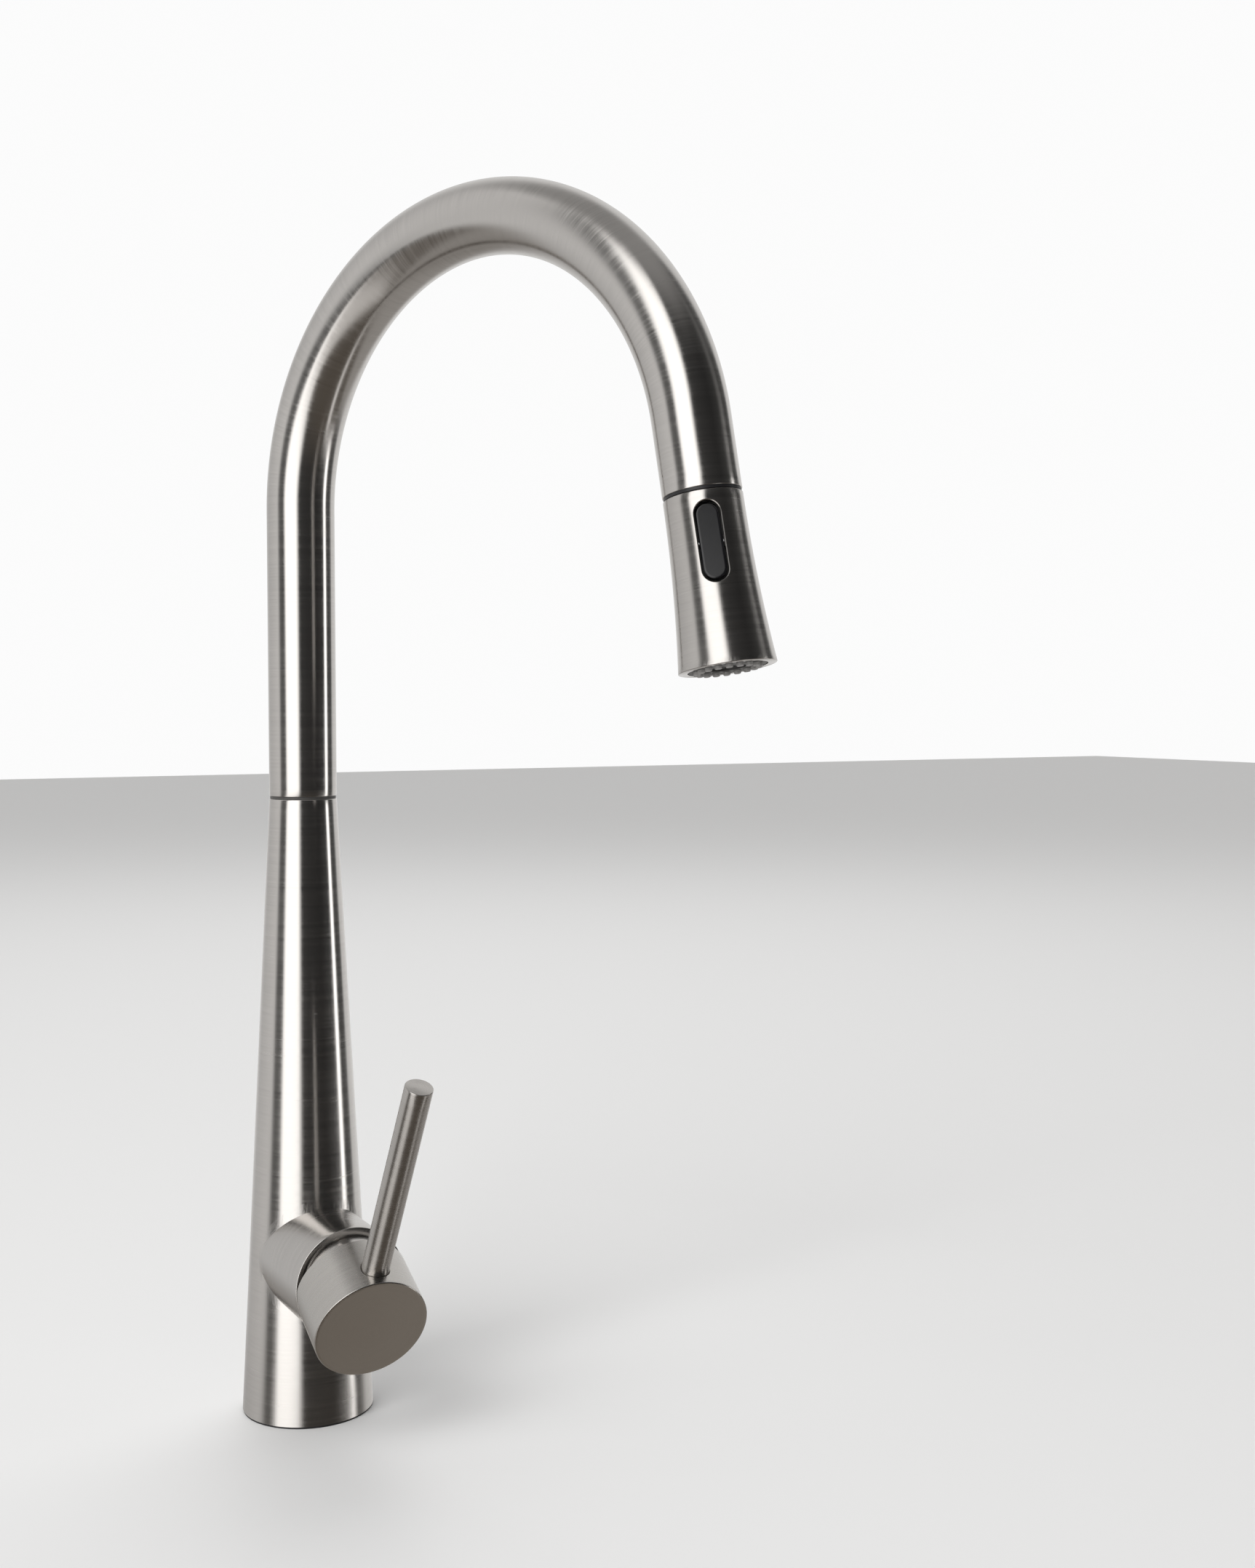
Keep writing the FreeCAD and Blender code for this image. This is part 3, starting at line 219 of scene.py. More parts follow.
def add_lathe(shape, axes, profile, count=128):
    """Turns a profile of (radius, height) about the local z axis.

    Point = (radius cos a, radius sin a, height); the grain runs around, and along the profile's length.
    """
    profile = np.asarray(profile, float)
    angle = circle_angles(count)
    radius = np.maximum(profile[:, 0:1], 1e-7)
    points = on_circle(radius, angle, profile[:, 1:2])
    grain = on_circle(profile[:, 0].max(), angle, path_lengths(profile)[:, None])
    add_loops(shape, axes.carry(points), grain)


def add_punched(shape, surface, grain, across, along, patches, rings=6):
    """A grid over closed `across` and open `along` values, with a hole in each of its patches.

    surface(a, b) and grain(a, b) give points. A patch is (columns, rows, hole), and hole(a, b)
    gives the point of the hole's edge nearest to a point of the patch's border. Rings run straight
    between them.
    Returns the edge of each hole as (a, b).
    """
    a_grid, b_grid = np.meshgrid(across, along)
    width = len(across)
    cells = strip_faces(len(along), width)
    cell_row = np.repeat(np.arange(len(along) - 1), width)
    cell_column = np.tile(np.arange(width), len(along) - 1)
    kept = np.ones(len(cells), bool)
    edges = []
    part = np.linspace(0, 1, rings + 1)[:, None]
    for columns, rows, hole in patches:
        kept &= ~((cell_row >= rows[0]) & (cell_row < rows[1])
                  & (cell_column >= columns[0]) & (cell_column < columns[1]))
        low, high = along[rows[0]], along[rows[1]]
        left, right = across[columns[0]], across[columns[1]]
        border_a = np.concatenate([
            across[columns[0]:columns[1]], np.full(rows[1] - rows[0], right),
            across[columns[0] + 1:columns[1] + 1][::-1], np.full(rows[1] - rows[0], left)])
        border_b = np.concatenate([
            np.full(columns[1] - columns[0], low), along[rows[0]:rows[1]],
            np.full(columns[1] - columns[0], high), along[rows[0] + 1:rows[1] + 1][::-1]])
        hole_a, hole_b = hole(border_a, border_b)
        ring_a = border_a + (hole_a - border_a) * part
        ring_b = border_b + (hole_b - border_b) * part
        add_loops(shape, surface(ring_a, ring_b), grain(ring_a, ring_b))
        edges.append((hole_a, hole_b))
    shape.add(surface(a_grid, b_grid), grain(a_grid, b_grid), cells[kept])
    return edges


def make_piece(name, shape, body, material, replaced=(), sharp=25, spans=None):
    """Makes the mesh object, closes its seams, turns its faces outwards and hangs it on its body.

    spans is (body, body, start, end); only whether it is given is read: such a piece is left where it is and not
    hung on a body.
    """
    mesh = bpy.data.meshes.new(name)
    mesh.from_pydata(np.concatenate(shape.points), [], shape.faces)
    attribute = mesh.attributes.new("grain", "FLOAT_VECTOR", "POINT")
    attribute.data.foreach_set("vector", np.concatenate(shape.grain).astype(np.float32).ravel())
    work = bmesh.new()
    work.from_mesh(mesh)
    bmesh.ops.remove_doubles(work, verts=work.verts, dist=2e-6)
    bmesh.ops.dissolve_degenerate(work, edges=work.edges, dist=1e-7)
    bmesh.ops.recalc_face_normals(work, faces=work.faces)
    work.to_mesh(mesh)
    work.free()
    mesh.shade_smooth()
    mesh.set_sharp_from_angle(angle=math.radians(sharp))
    add_direction_uv(mesh)
    piece = bpy.data.objects.new(name, mesh)
    bpy.context.scene.collection.objects.link(piece)
    mesh.materials.append(material)
    if spans:
        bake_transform(piece)
    else:
        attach(piece, body)
    if replaced:
        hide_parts(*replaced)
    return piece


def add_direction_uv(mesh):
    """A UV map whose U runs around the piece and V along it, taken from the grain coordinate."""
    grain = np.empty(len(mesh.vertices) * 3, np.float32)
    mesh.attributes["grain"].data.foreach_get("vector", grain)
    grain = grain.reshape(-1, 3)
    corners = np.empty(len(mesh.loops), np.int32)
    mesh.loops.foreach_get("vertex_index", corners)
    turn = np.arctan2(grain[:, 1], grain[:, 0])[corners] / (2 * math.pi)
    starts = np.empty(len(mesh.polygons), np.int32)
    totals = np.empty(len(mesh.polygons), np.int32)
    mesh.polygons.foreach_get("loop_start", starts)
    mesh.polygons.foreach_get("loop_total", totals)
    first = np.repeat(turn[starts], totals)
    turn = turn + np.round(first - turn)
    layer = mesh.uv_layers.new(name="around")
    uv = np.stack([turn, grain[corners, 2] * 10], axis=-1)
    layer.data.foreach_set("uv", uv.astype(np.float32).ravel())


# ---------------------------------------------------------------- materials

def feed(tree, value, socket):
    """Links an output socket to an input, or sets the input to a constant."""
    if isinstance(value, bpy.types.NodeSocket):
        tree.links.new(value, socket)
    else:
        socket.default_value = value


def add_node(tree, kind, **values):
    """A node with some of its properties set and some of its inputs fed."""
    made = tree.nodes.new(kind)
    for key, value in values.items():
        if key in made.inputs:
            feed(tree, value, made.inputs[key])
        else:
            setattr(made, key, value)
    return made


def calc(tree, operation, *terms):
    """The result of one arithmetic step on sockets or numbers."""
    made = add_node(tree, "ShaderNodeMath", operation=operation)
    for term, socket in zip(terms, made.inputs):
        feed(tree, term, socket)
    return made.outputs[0]


def mapped(tree, value, source, target=(0, 1), kind="LINEAR"):
    """A value carried from one range to another."""
    made = add_node(tree, "ShaderNodeMapRange", interpolation_type=kind, Value=value)
    for socket, number in zip(("From Min", "From Max", "To Min", "To Max"), (*source, *target)):
        made.inputs[socket].default_value = number
    return made.outputs["Result"]


def mixed(tree, factor, first, second, kind="RGBA"):
    """Two values or two colours mixed by a factor."""
    made = add_node(tree, "ShaderNodeMix", data_type=kind, Factor=factor)
    place, result = {"FLOAT": (2, 0), "RGBA": (6, 2)}[kind]
    feed(tree, first, made.inputs[place])
    feed(tree, second, made.inputs[place + 1])
    return made.outputs[result]


def turn_of(tree, place):
    """The angle of a vector about the vertical axis, and the vector's separate parts."""
    parts = add_node(tree, "ShaderNodeSeparateXYZ", Vector=place)
    return calc(tree, "ARCTAN2", parts.outputs["Y"], parts.outputs["X"]), parts


def pattern_group(name, settings, draw):
    """A node group of colour, roughness and height; draw gives the shade and the height.

    Colour = given colour times (1 + shade). Roughness = given roughness + share times shade.
    """
    group = bpy.data.node_groups.new(name, "ShaderNodeTree")
    inputs = {"Vector": ("NodeSocketVector", None), "Color": ("NodeSocketColor", (0.5, 0.5, 0.5, 1)),
              "Roughness": ("NodeSocketFloat", 0.4)}
    inputs.update({socket: ("NodeSocketFloat", value) for socket, value in settings.items()})
    for socket, (kind, value) in inputs.items():
        made = group.interface.new_socket(socket, in_out="INPUT", socket_type=kind)
        if value is not None:
            made.default_value = value
    for socket, kind in (("Color", "Color"), ("Roughness", "Float"), ("Height", "Float")):
        group.interface.new_socket(socket, in_out="OUTPUT", socket_type="NodeSocket" + kind)
    given = group.nodes.new("NodeGroupInput").outputs
    result = group.nodes.new("NodeGroupOutput").inputs
    shade, share, height = draw(group, given)
    colour = add_node(group, "ShaderNodeVectorMath", operation="SCALE",
                      Scale=calc(group, "ADD", shade, 1.0))
    feed(group, given["Color"], colour.inputs[0])
    feed(group, colour.outputs["Vector"], result["Color"])
    feed(group, calc(group, "MULTIPLY_ADD", shade, share, given["Roughness"]), result["Roughness"])
    feed(group, height, result["Height"])
    return group


def noise(tree, place, scale, detail, roughness=0.5):
    """The value of a noise drawn at a place."""
    made = add_node(tree, "ShaderNodeTexNoise", Vector=place, Scale=scale, Detail=detail,
                    Roughness=roughness)
    return made.outputs["Fac"]


def draw_brushing(tree, given):
    """Brush marks: noise drawn out around the piece, fine along it, over broad soft patches."""
    scale = add_node(tree, "ShaderNodeCombineXYZ", X=given["Around"], Y=given["Around"],
                     Z=given["Along"])
    drawn = add_node(tree, "ShaderNodeVectorMath", operation="MULTIPLY")
    feed(tree, given["Vector"], drawn.inputs[0])
    feed(tree, scale.outputs["Vector"], drawn.inputs[1])
    fine = noise(tree, drawn.outputs["Vector"], 1.0, 3.0, 0.65)
    wide = noise(tree, drawn.outputs["Vector"], 0.22, 4.0, 0.6)
    patch = noise(tree, given["Vector"], 38.0, 3.0, 0.55)
    lines = mixed(tree, 0.5, fine, wide, "FLOAT")
    swing = calc(tree, "MULTIPLY", calc(tree, "SUBTRACT", lines, 0.5), given["Contrast"])
    soft = mapped(tree, patch, (0.3, 0.7), (-0.035, 0.035))
    return calc(tree, "ADD", swing, soft), 0.8, lines


def draw_mottle(tree, given):
    """Moulded and machined surfaces: two sizes of soft noise in colour, roughness and height."""
    fine = noise(tree, given["Vector"], given["Scale"], 4.0, 0.6)
    broad = noise(tree, given["Vector"], 60.0, 3.0)
    centred = calc(tree, "SUBTRACT", calc(tree, "ADD", fine, broad), 1.0)
    return calc(tree, "MULTIPLY", centred, given["Contrast"]), 1.0, fine


BRUSHING = pattern_group("brushing", {"Around": 25.0, "Along": 2600.0, "Contrast": 0.1},
                         draw_brushing)
MOTTLE = pattern_group("mottle", {"Scale": 400.0, "Contrast": 0.12}, draw_mottle)


def start_material(name, **settings):
    """A material, its node tree and its shader, with some of the shader's inputs set."""
    material = bpy.data.materials.new(name)
    material.use_nodes = True
    shader = material.node_tree.nodes["Principled BSDF"]
    for socket, value in settings.items():
        shader.inputs[socket.replace("_", " ")].default_value = value
    return material, material.node_tree, shader


def drive_shader(tree, shader, pattern, strength, distance):
    """Colour, roughness and a bumped normal from a pattern group to the shader."""
    feed(tree, pattern.outputs["Color"], shader.inputs["Base Color"])
    feed(tree, pattern.outputs["Roughness"], shader.inputs["Roughness"])
    bump = add_node(tree, "ShaderNodeBump", Strength=strength, Distance=distance,
                    Height=pattern.outputs["Height"])
    feed(tree, bump.outputs["Normal"], shader.inputs["Normal"])


def brushed_steel(name, colour, roughness, contrast=0.4, along=1700.0, around=22.0,
                  height=0.2, stretch=0.72, on_piece=True):
    """Satin stainless steel brushed around the piece, its gloss drawn out along the piece."""
    material, tree, shader = start_material(name, Metallic=1.0)
    if on_piece:
        place = add_node(tree, "ShaderNodeAttribute", attribute_name="grain").outputs["Vector"]
    else:
        place = tree.nodes.new("ShaderNodeTexCoord").outputs["Object"]
    pattern = add_node(tree, "ShaderNodeGroup", node_tree=BRUSHING, Vector=place,
                       Color=(*colour, 1), Roughness=roughness, Contrast=contrast,
                       Along=along, Around=around)
    drive_shader(tree, shader, pattern, height, 0.04 * MM)
    if on_piece:
        shader.inputs["Anisotropic"].default_value = stretch
        shader.inputs["Anisotropic Rotation"].default_value = 0.25
        tangent = add_node(tree, "ShaderNodeTangent", direction_type="UV_MAP", uv_map="around")
        feed(tree, tangent.outputs["Tangent"], shader.inputs["Tangent"])
    return material


def moulded(name, colour, roughness, metallic=0.0, scale=400.0, contrast=0.12, height=0.15,
            coat=0.0):
    """Plastic, rubber, ceramic or plain machined metal with a fine uneven surface."""
    material, tree, shader = start_material(name, Metallic=metallic, Coat_Weight=coat,
                                            Coat_Roughness=0.08)
    place = tree.nodes.new("ShaderNodeTexCoord").outputs["Object"]
    pattern = add_node(tree, "ShaderNodeGroup", node_tree=MOTTLE, Vector=place,
                       Color=(*colour, 1), Roughness=roughness, Scale=scale, Contrast=contrast)
    drive_shader(tree, shader, pattern, height, 0.05 * MM)
    return material


def braided(name):
    """A braided nylon hose: two families of crossing strands wound round it, dark in the gaps."""
    strands, pitch = 12.0, 2100.0
    material, tree, shader = start_material(name, Roughness=0.45)
    place = add_node(tree, "ShaderNodeAttribute", attribute_name="grain").outputs["Vector"]
    turn, parts = turn_of(tree, place)
    waves = []
    for hand in (1, -1):
        wound = calc(tree, "MULTIPLY", turn, strands * hand)
        run = calc(tree, "MULTIPLY_ADD", parts.outputs["Z"], pitch, wound)
        waves.append(calc(tree, "SINE", run))
    weave = calc(tree, "MAXIMUM", *waves)
    ramp = add_node(tree, "ShaderNodeValToRGB", Fac=mapped(tree, weave, (-0.6, 1.0)))
    ramp.color_ramp.elements[0].color = (0.02, 0.02, 0.022, 1)
    ramp.color_ramp.elements[1].color = (0.33, 0.33, 0.35, 1)
    feed(tree, ramp.outputs["Color"], shader.inputs["Base Color"])
    bump = add_node(tree, "ShaderNodeBump", Strength=0.6, Distance=0.3 * MM, Height=weave)
    feed(tree, bump.outputs["Normal"], shader.inputs["Normal"])
    return material


STEEL = (0.56, 0.54, 0.52)
steel = brushed_steel("satin_steel", STEEL, 0.22)
tube_steel = brushed_steel("tube_steel", STEEL, 0.21, along=1500.0)
head_steel = brushed_steel("head_steel", (0.53, 0.51, 0.49), 0.23, along=1700.0)
cap_steel = brushed_steel("cap_steel", (0.55, 0.53, 0.505), 0.28, height=0.12)
# the cap face's darker, browner colour is a painted reflection of warm surroundings; its ring brushing and higher
# roughness are the face's own finish
face_steel_painted_reflection = brushed_steel("face_steel_painted_reflection", (0.44, 0.4, 0.355), 0.36, contrast=0.25, stretch=0.0,
                           around=60.0, along=900.0, height=0.06)
lever_steel = brushed_steel("lever_steel", (0.5, 0.48, 0.46), 0.27, height=0.1)

SLOT_MATERIALS = {
    "brushed_steel": brushed_steel("plain_steel", STEEL, 0.3, on_piece=False),
    "brass": moulded("machined_brass", (0.60, 0.43, 0.18), 0.3, metallic=1.0),
    "black_plastic": moulded("black_gloss", (0.005, 0.005, 0.006), 0.12, contrast=0.2, height=0.04),
    "black_matte": moulded("black_satin", (0.012, 0.012, 0.013), 0.38),
    "grey_plastic": moulded("grey_moulding", (0.055, 0.053, 0.05), 0.45),
    "white_plastic": moulded("white_acetal", (0.75, 0.75, 0.72), 0.4),
    "black_rubber": moulded("black_rubber", (0.015, 0.015, 0.016), 0.6, scale=900.0),
    "grey_rubber": moulded("grey_silicone", (0.3, 0.29, 0.28), 0.5, scale=900.0, height=0.08),
    "ceramic_white": moulded("lapped_ceramic", (0.82, 0.8, 0.76), 0.2, coat=0.3),
    "copper_tube": moulded("drawn_copper", (0.72, 0.36, 0.22), 0.3, metallic=1.0),
    "zinc_steel": moulded("zinc_plate", (0.58, 0.58, 0.6), 0.35, metallic=1.0),
    "hose_nylon": braided("braided_nylon"),
    "magnet": moulded("nickel_magnet", (0.42, 0.42, 0.44), 0.25, metallic=1.0),
}

node_slots = {row["node"]: row["material_slot"] for row in frame["record"]["subparts"]}
for node_name, node_object in frame["nodes"].items():
    node_object.data.materials.clear()
    node_object.data.materials.append(SLOT_MATERIALS[node_slots[node_name]])


# ---------------------------------------------------------------- tapered body with its branch

def cone_radius(height, inset=0.0):
    return BASE_RADIUS - inset - (BASE_RADIUS - TUBE_RADIUS) / NECK_HEIGHT * height


def branch_edge(turn, inset, radius):
    """Where the branch meets the cone: x and z on the branch's circle, y from the cone's radius."""
    x = radius * np.cos(turn)
    z = pivot[2] + radius * np.sin(turn)
    y = -np.sqrt(cone_radius(z, inset) ** 2 - x ** 2)
    return np.stack([x, y, z], axis=-1)


def add_tee(shape, foot, top, inset, radius, reach):
    """A cone joined by a branch: rulings run from the foot to the join and from the join to the top.

    The join is split where it reaches furthest round the cone; there the sine of the branch's turn
    is slope times branch radius over cone radius. Behind that the rulings meet at one height.
    Returns the loops at the foot, at the top and at the branch's mouth.
    """
    slope = (BASE_RADIUS - TUBE_RADIUS) / NECK_HEIGHT
    split = math.asin(slope * radius / cone_radius(pivot[2], inset))
    below = np.linspace(math.pi - split, 2 * math.pi + split, 129)
    above = np.linspace(math.pi - split, split, 129)
    side = branch_edge(np.array([split]), inset, radius)[0]
    right = math.atan2(side[1], side[0])
    back = np.linspace(right, math.pi - right, 129)[1:-1]
    radius_at = cone_radius(side[2], inset)
    behind = np.stack([radius_at * np.cos(back), radius_at * np.sin(back),
                       np.full(len(back), side[2])], axis=-1)
    ends = []
    for turns, end, steps in ((below, foot, 13), (above, top, 41)):
        join = np.concatenate([branch_edge(turns, inset, radius), behind])
        around = np.arctan2(join[:, 1], join[:, 0])
        part = np.linspace(0, 1, steps)[:, None]
        height = join[:, 2] + (end - join[:, 2]) * part
        wide = cone_radius(height, inset)
        rows = np.stack([wide * np.cos(around), wide * np.sin(around), height], axis=-1)
        add_loops(shape, rows, rows)
        ends.append(rows[-1])
    turns = np.concatenate([below, above[::-1][1:-1]])
    join = branch_edge(turns, inset, radius)
    part = np.linspace(0, 1, 13)[:, None]
    deep = join[:, 1] + (-reach - join[:, 1]) * part
    rows = np.stack([np.broadcast_to(join[:, 0], deep.shape), deep,
                     np.broadcast_to(join[:, 2], deep.shape)], axis=-1)
    add_loops(shape, rows, branch_grain(rows))
    return ends[0], ends[1], rows[-1]


def branch_grain(points):
    return np.stack([points[..., 0], points[..., 2] - pivot[2], points[..., 1]], axis=-1)


def resized(loop, radius, height=None):
    """A loop about the vertical axis set to another radius, and to another height if given."""
    scale = radius / np.linalg.norm(loop[:, :2], axis=1)
    out = loop.copy()
    out[:, :2] *= scale[:, None]
    if height is not None:
        out[:, 2] = height
    return out


def make_tapered_body():
    """The cone, its branch and their inner walls, closed at the foot, the neck and the mouth."""
    shape = Shape()
    edge = 0.3 * MM
    inner_top = BEARING_FOOT - 1.5 * MM
    bore = BRANCH_RADIUS - BRANCH_WALL
    foot, neck, mouth = add_tee(shape, GASKET_TOP, NECK_HEIGHT - edge, 0, BRANCH_RADIUS,
                                BRANCH_REACH - edge)
    inner_foot, inner_neck, inner_mouth = add_tee(shape, GASKET_TOP, inner_top, SHELL_WALL, bore,
                                                  BRANCH_REACH)
    add_loops(shape, [foot, inner_foot], [foot, inner_foot])
    lip = [neck]
    for turn in np.radians([30, 60, 90]):
        lip.append(resized(neck, TUBE_RADIUS - edge * (1 - math.cos(turn)),
                           NECK_HEIGHT - edge * (1 - math.sin(turn))))
    lip.append(resized(neck, NECK_BORE, NECK_HEIGHT))
    lip.append(resized(inner_neck, NECK_BORE, BEARING_FOOT))
    lip.append(inner_neck)
    add_loops(shape, lip, lip)
    rim = [mouth]
    for turn in np.radians([30, 60, 90]):
        scale = (BRANCH_RADIUS - edge * (1 - math.cos(turn))) / BRANCH_RADIUS
        ring = mouth.copy()
        ring[:, 0] *= scale
        ring[:, 2] = pivot[2] + (mouth[:, 2] - pivot[2]) * scale
        ring[:, 1] = -(BRANCH_REACH - edge * (1 - math.sin(turn)))
        rim.append(ring)
    rim.append(inner_mouth)
    add_loops(shape, rim, branch_grain(np.array(rim)))
    return shape


make_piece("tapered_body", make_tapered_body(), "base", steel, ["body_shell"])


# ---------------------------------------------------------------- gooseneck and hose

def arch_path(stations):
    """Centre and outward normal of the gooseneck at distances along it from the deck's height.

    A straight riser, then an arc of the arch's radius, then the straight tail, all in one plane.
    """
    arc = ARCH_RADIUS * ARCH_ANGLE
    turned = np.clip((stations - ARCH_START) / ARCH_RADIUS, 0, ARCH_ANGLE)
    riser = np.minimum(stations, ARCH_START)
    tail = np.maximum(stations - ARCH_START - arc, 0)
    x = ARCH_RADIUS * (1 - np.cos(turned)) + tail * np.sin(turned)
    z = riser + ARCH_RADIUS * np.sin(turned) + tail * np.cos(turned)
    centre = np.stack([x, np.zeros_like(x), z], axis=-1)
    normal = np.stack([-np.cos(turned), np.zeros_like(x), np.sin(turned)], axis=-1)
    return centre, normal


def add_arch(shape, stations, radii, count=128):
    """Skins circles of the given radii along the gooseneck's path."""
    stations, radii = np.asarray(stations, float), np.asarray(radii, float)
    centre, normal = arch_path(stations)
    angle = circle_angles(count)[None, :, None]
    side = np.array([0.0, 1.0, 0.0])
    rows = (centre[:, None, :] + radii[:, None, None]
            * (np.cos(angle) * normal[:, None, :] + np.sin(angle) * side))
    grain = on_circle(radii.max(), angle[..., 0], stations[:, None])
    add_loops(shape, SPOUT.carry(rows), grain)


ARCH_END = ARCH_START + ARCH_RADIUS * ARCH_ANGLE
SPOUT_END = ARCH_END + TAIL_LENGTH


def make_spout():
    """The gooseneck's tube, outer and inner walls, with small rounded edges at both ends."""
    shape = Shape()
    edge = 0.3 * MM
    corner = np.radians([0, 30, 60, 90])
    outer = np.concatenate([
        TUBE_FOOT + edge * (1 - np.cos(corner)), np.linspace(TUBE_FOOT + 4 * MM, ARCH_START, 24),
        np.linspace(ARCH_START, ARCH_END, 150)[1:], np.linspace(ARCH_END, SPOUT_END - edge, 7)[1:],
        SPOUT_END - edge * (1 - np.sin(corner[1:]))])
    wide = np.full(len(outer), TUBE_RADIUS)
    wide[:4] -= edge * (1 - np.sin(corner))
    wide[-3:] -= edge * (1 - np.cos(corner[1:]))
    inner = np.concatenate([[SPOUT_END], np.linspace(ARCH_END, ARCH_START, 80),
                            [TUBE_FOOT, TUBE_FOOT]])
    narrow = np.full(len(inner), TUBE_RADIUS - TUBE_WALL)
    narrow[-1] = wide[0]
    add_arch(shape, np.concatenate([outer, inner]), np.concatenate([wide, narrow]))
    return shape


make_piece("gooseneck", make_spout(), "spout", tube_steel, ["spout_tube"])

RUN_START, RUN_END = -26 * MM, -17.6 * MM


def make_hose_inside():
    """The hose from the shank's end up to the straight tail of the spout."""
    shape = Shape()
    last = SPOUT_END + RUN_START
    way = np.concatenate([[-60 * MM], np.linspace(-60 * MM, ARCH_START, 60),
                          np.linspace(ARCH_START, ARCH_END, 90)[1:], [last, last]])
    wide = np.full(len(way), HOSE_RADIUS)
    wide[0] = wide[-1] = 1e-7
    add_arch(shape, way, wide, 48)
    return shape


def make_hose_run():
    """The stretch of hose that draws out from the spout, built here at rest: its rings are spaced to be even along
    the hose once drawn out.

    Ring i of n lies where 3 t squared minus 2 t cubed is i / n, and its grain runs with the full
    travel.
    """
    shape = Shape()
    share = np.linspace(0, 1, 241)
    part = 0.5 - np.sin(np.arcsin(1 - 2 * share) / 3)
    height = RUN_START + (RUN_END - RUN_START) * part
    run = height + HOSE_TRAVEL * share
    angle = circle_angles(48)
    height = np.concatenate([height[:1], height, [RUN_END + 0.6 * MM] * 2])
    run = np.concatenate([run[:1], run, [run[-1] + 0.6 * MM] * 2])
    wide = np.full(len(height), HOSE_RADIUS)
    wide[0] = wide[-1] = 1e-7
    rows = on_circle(wide[:, None], angle, height[:, None])
    add_loops(shape, DOCK.carry(rows), on_circle(HOSE_RADIUS, angle, run[:, None]))
    return shape


make_piece("hose_inside", make_hose_inside(), "spout",
           SLOT_MATERIALS["hose_nylon"], ["pull_hose"])
make_piece("hose_run", make_hose_run(), None, SLOT_MATERIALS["hose_nylon"],
           ["pull_hose"], spans=("spout", "hose_end", RUN_START, RUN_END))


# ---------------------------------------------------------------- handle: dome, cap and lever

def make_dome():
    """A zone of a sphere about the handle's pivot, with a short skirt behind it."""
    shape = Shape()
    wall, skirt_depth, flange_gap, flange_height = 0.85 * MM, 0.95 * MM, 0.1 * MM, 0.3 * MM
    inner = DOME_RADIUS - wall
    skirt = BRANCH_REACH - skirt_depth
    flange = BRANCH_RADIUS - BRANCH_WALL - flange_gap
    rise = np.linspace(0, math.radians(30), 24)
    outside = np.stack([DOME_RADIUS * np.cos(rise), BRANCH_REACH + DOME_RADIUS * np.sin(rise)], -1)
    inside = np.stack([inner * np.cos(rise), BRANCH_REACH + inner * np.sin(rise)], -1)[::-1]
    profile = np.concatenate([[(inner, skirt), (flange, skirt), (flange, skirt + flange_height),
                               (DOME_RADIUS, skirt + flange_height)], outside, inside,
                              [(inner, skirt)]])
    add_lathe(shape, BRANCH_CENTRE, profile, 192)
    return shape


make_piece("dome_cover", make_dome(), "base", steel, ["dome_ring"])


def cap_rear(y):
    """The cap's rear edge: flat above the pivot line, falling away at the lift angle below."""
    knee = CAP_GAP * math.tan(LIFT_ANGLE / 2)
    return np.where(y > knee, CAP_GAP, CAP_GAP / math.cos(LIFT_ANGLE) - y * math.tan(LIFT_ANGLE))


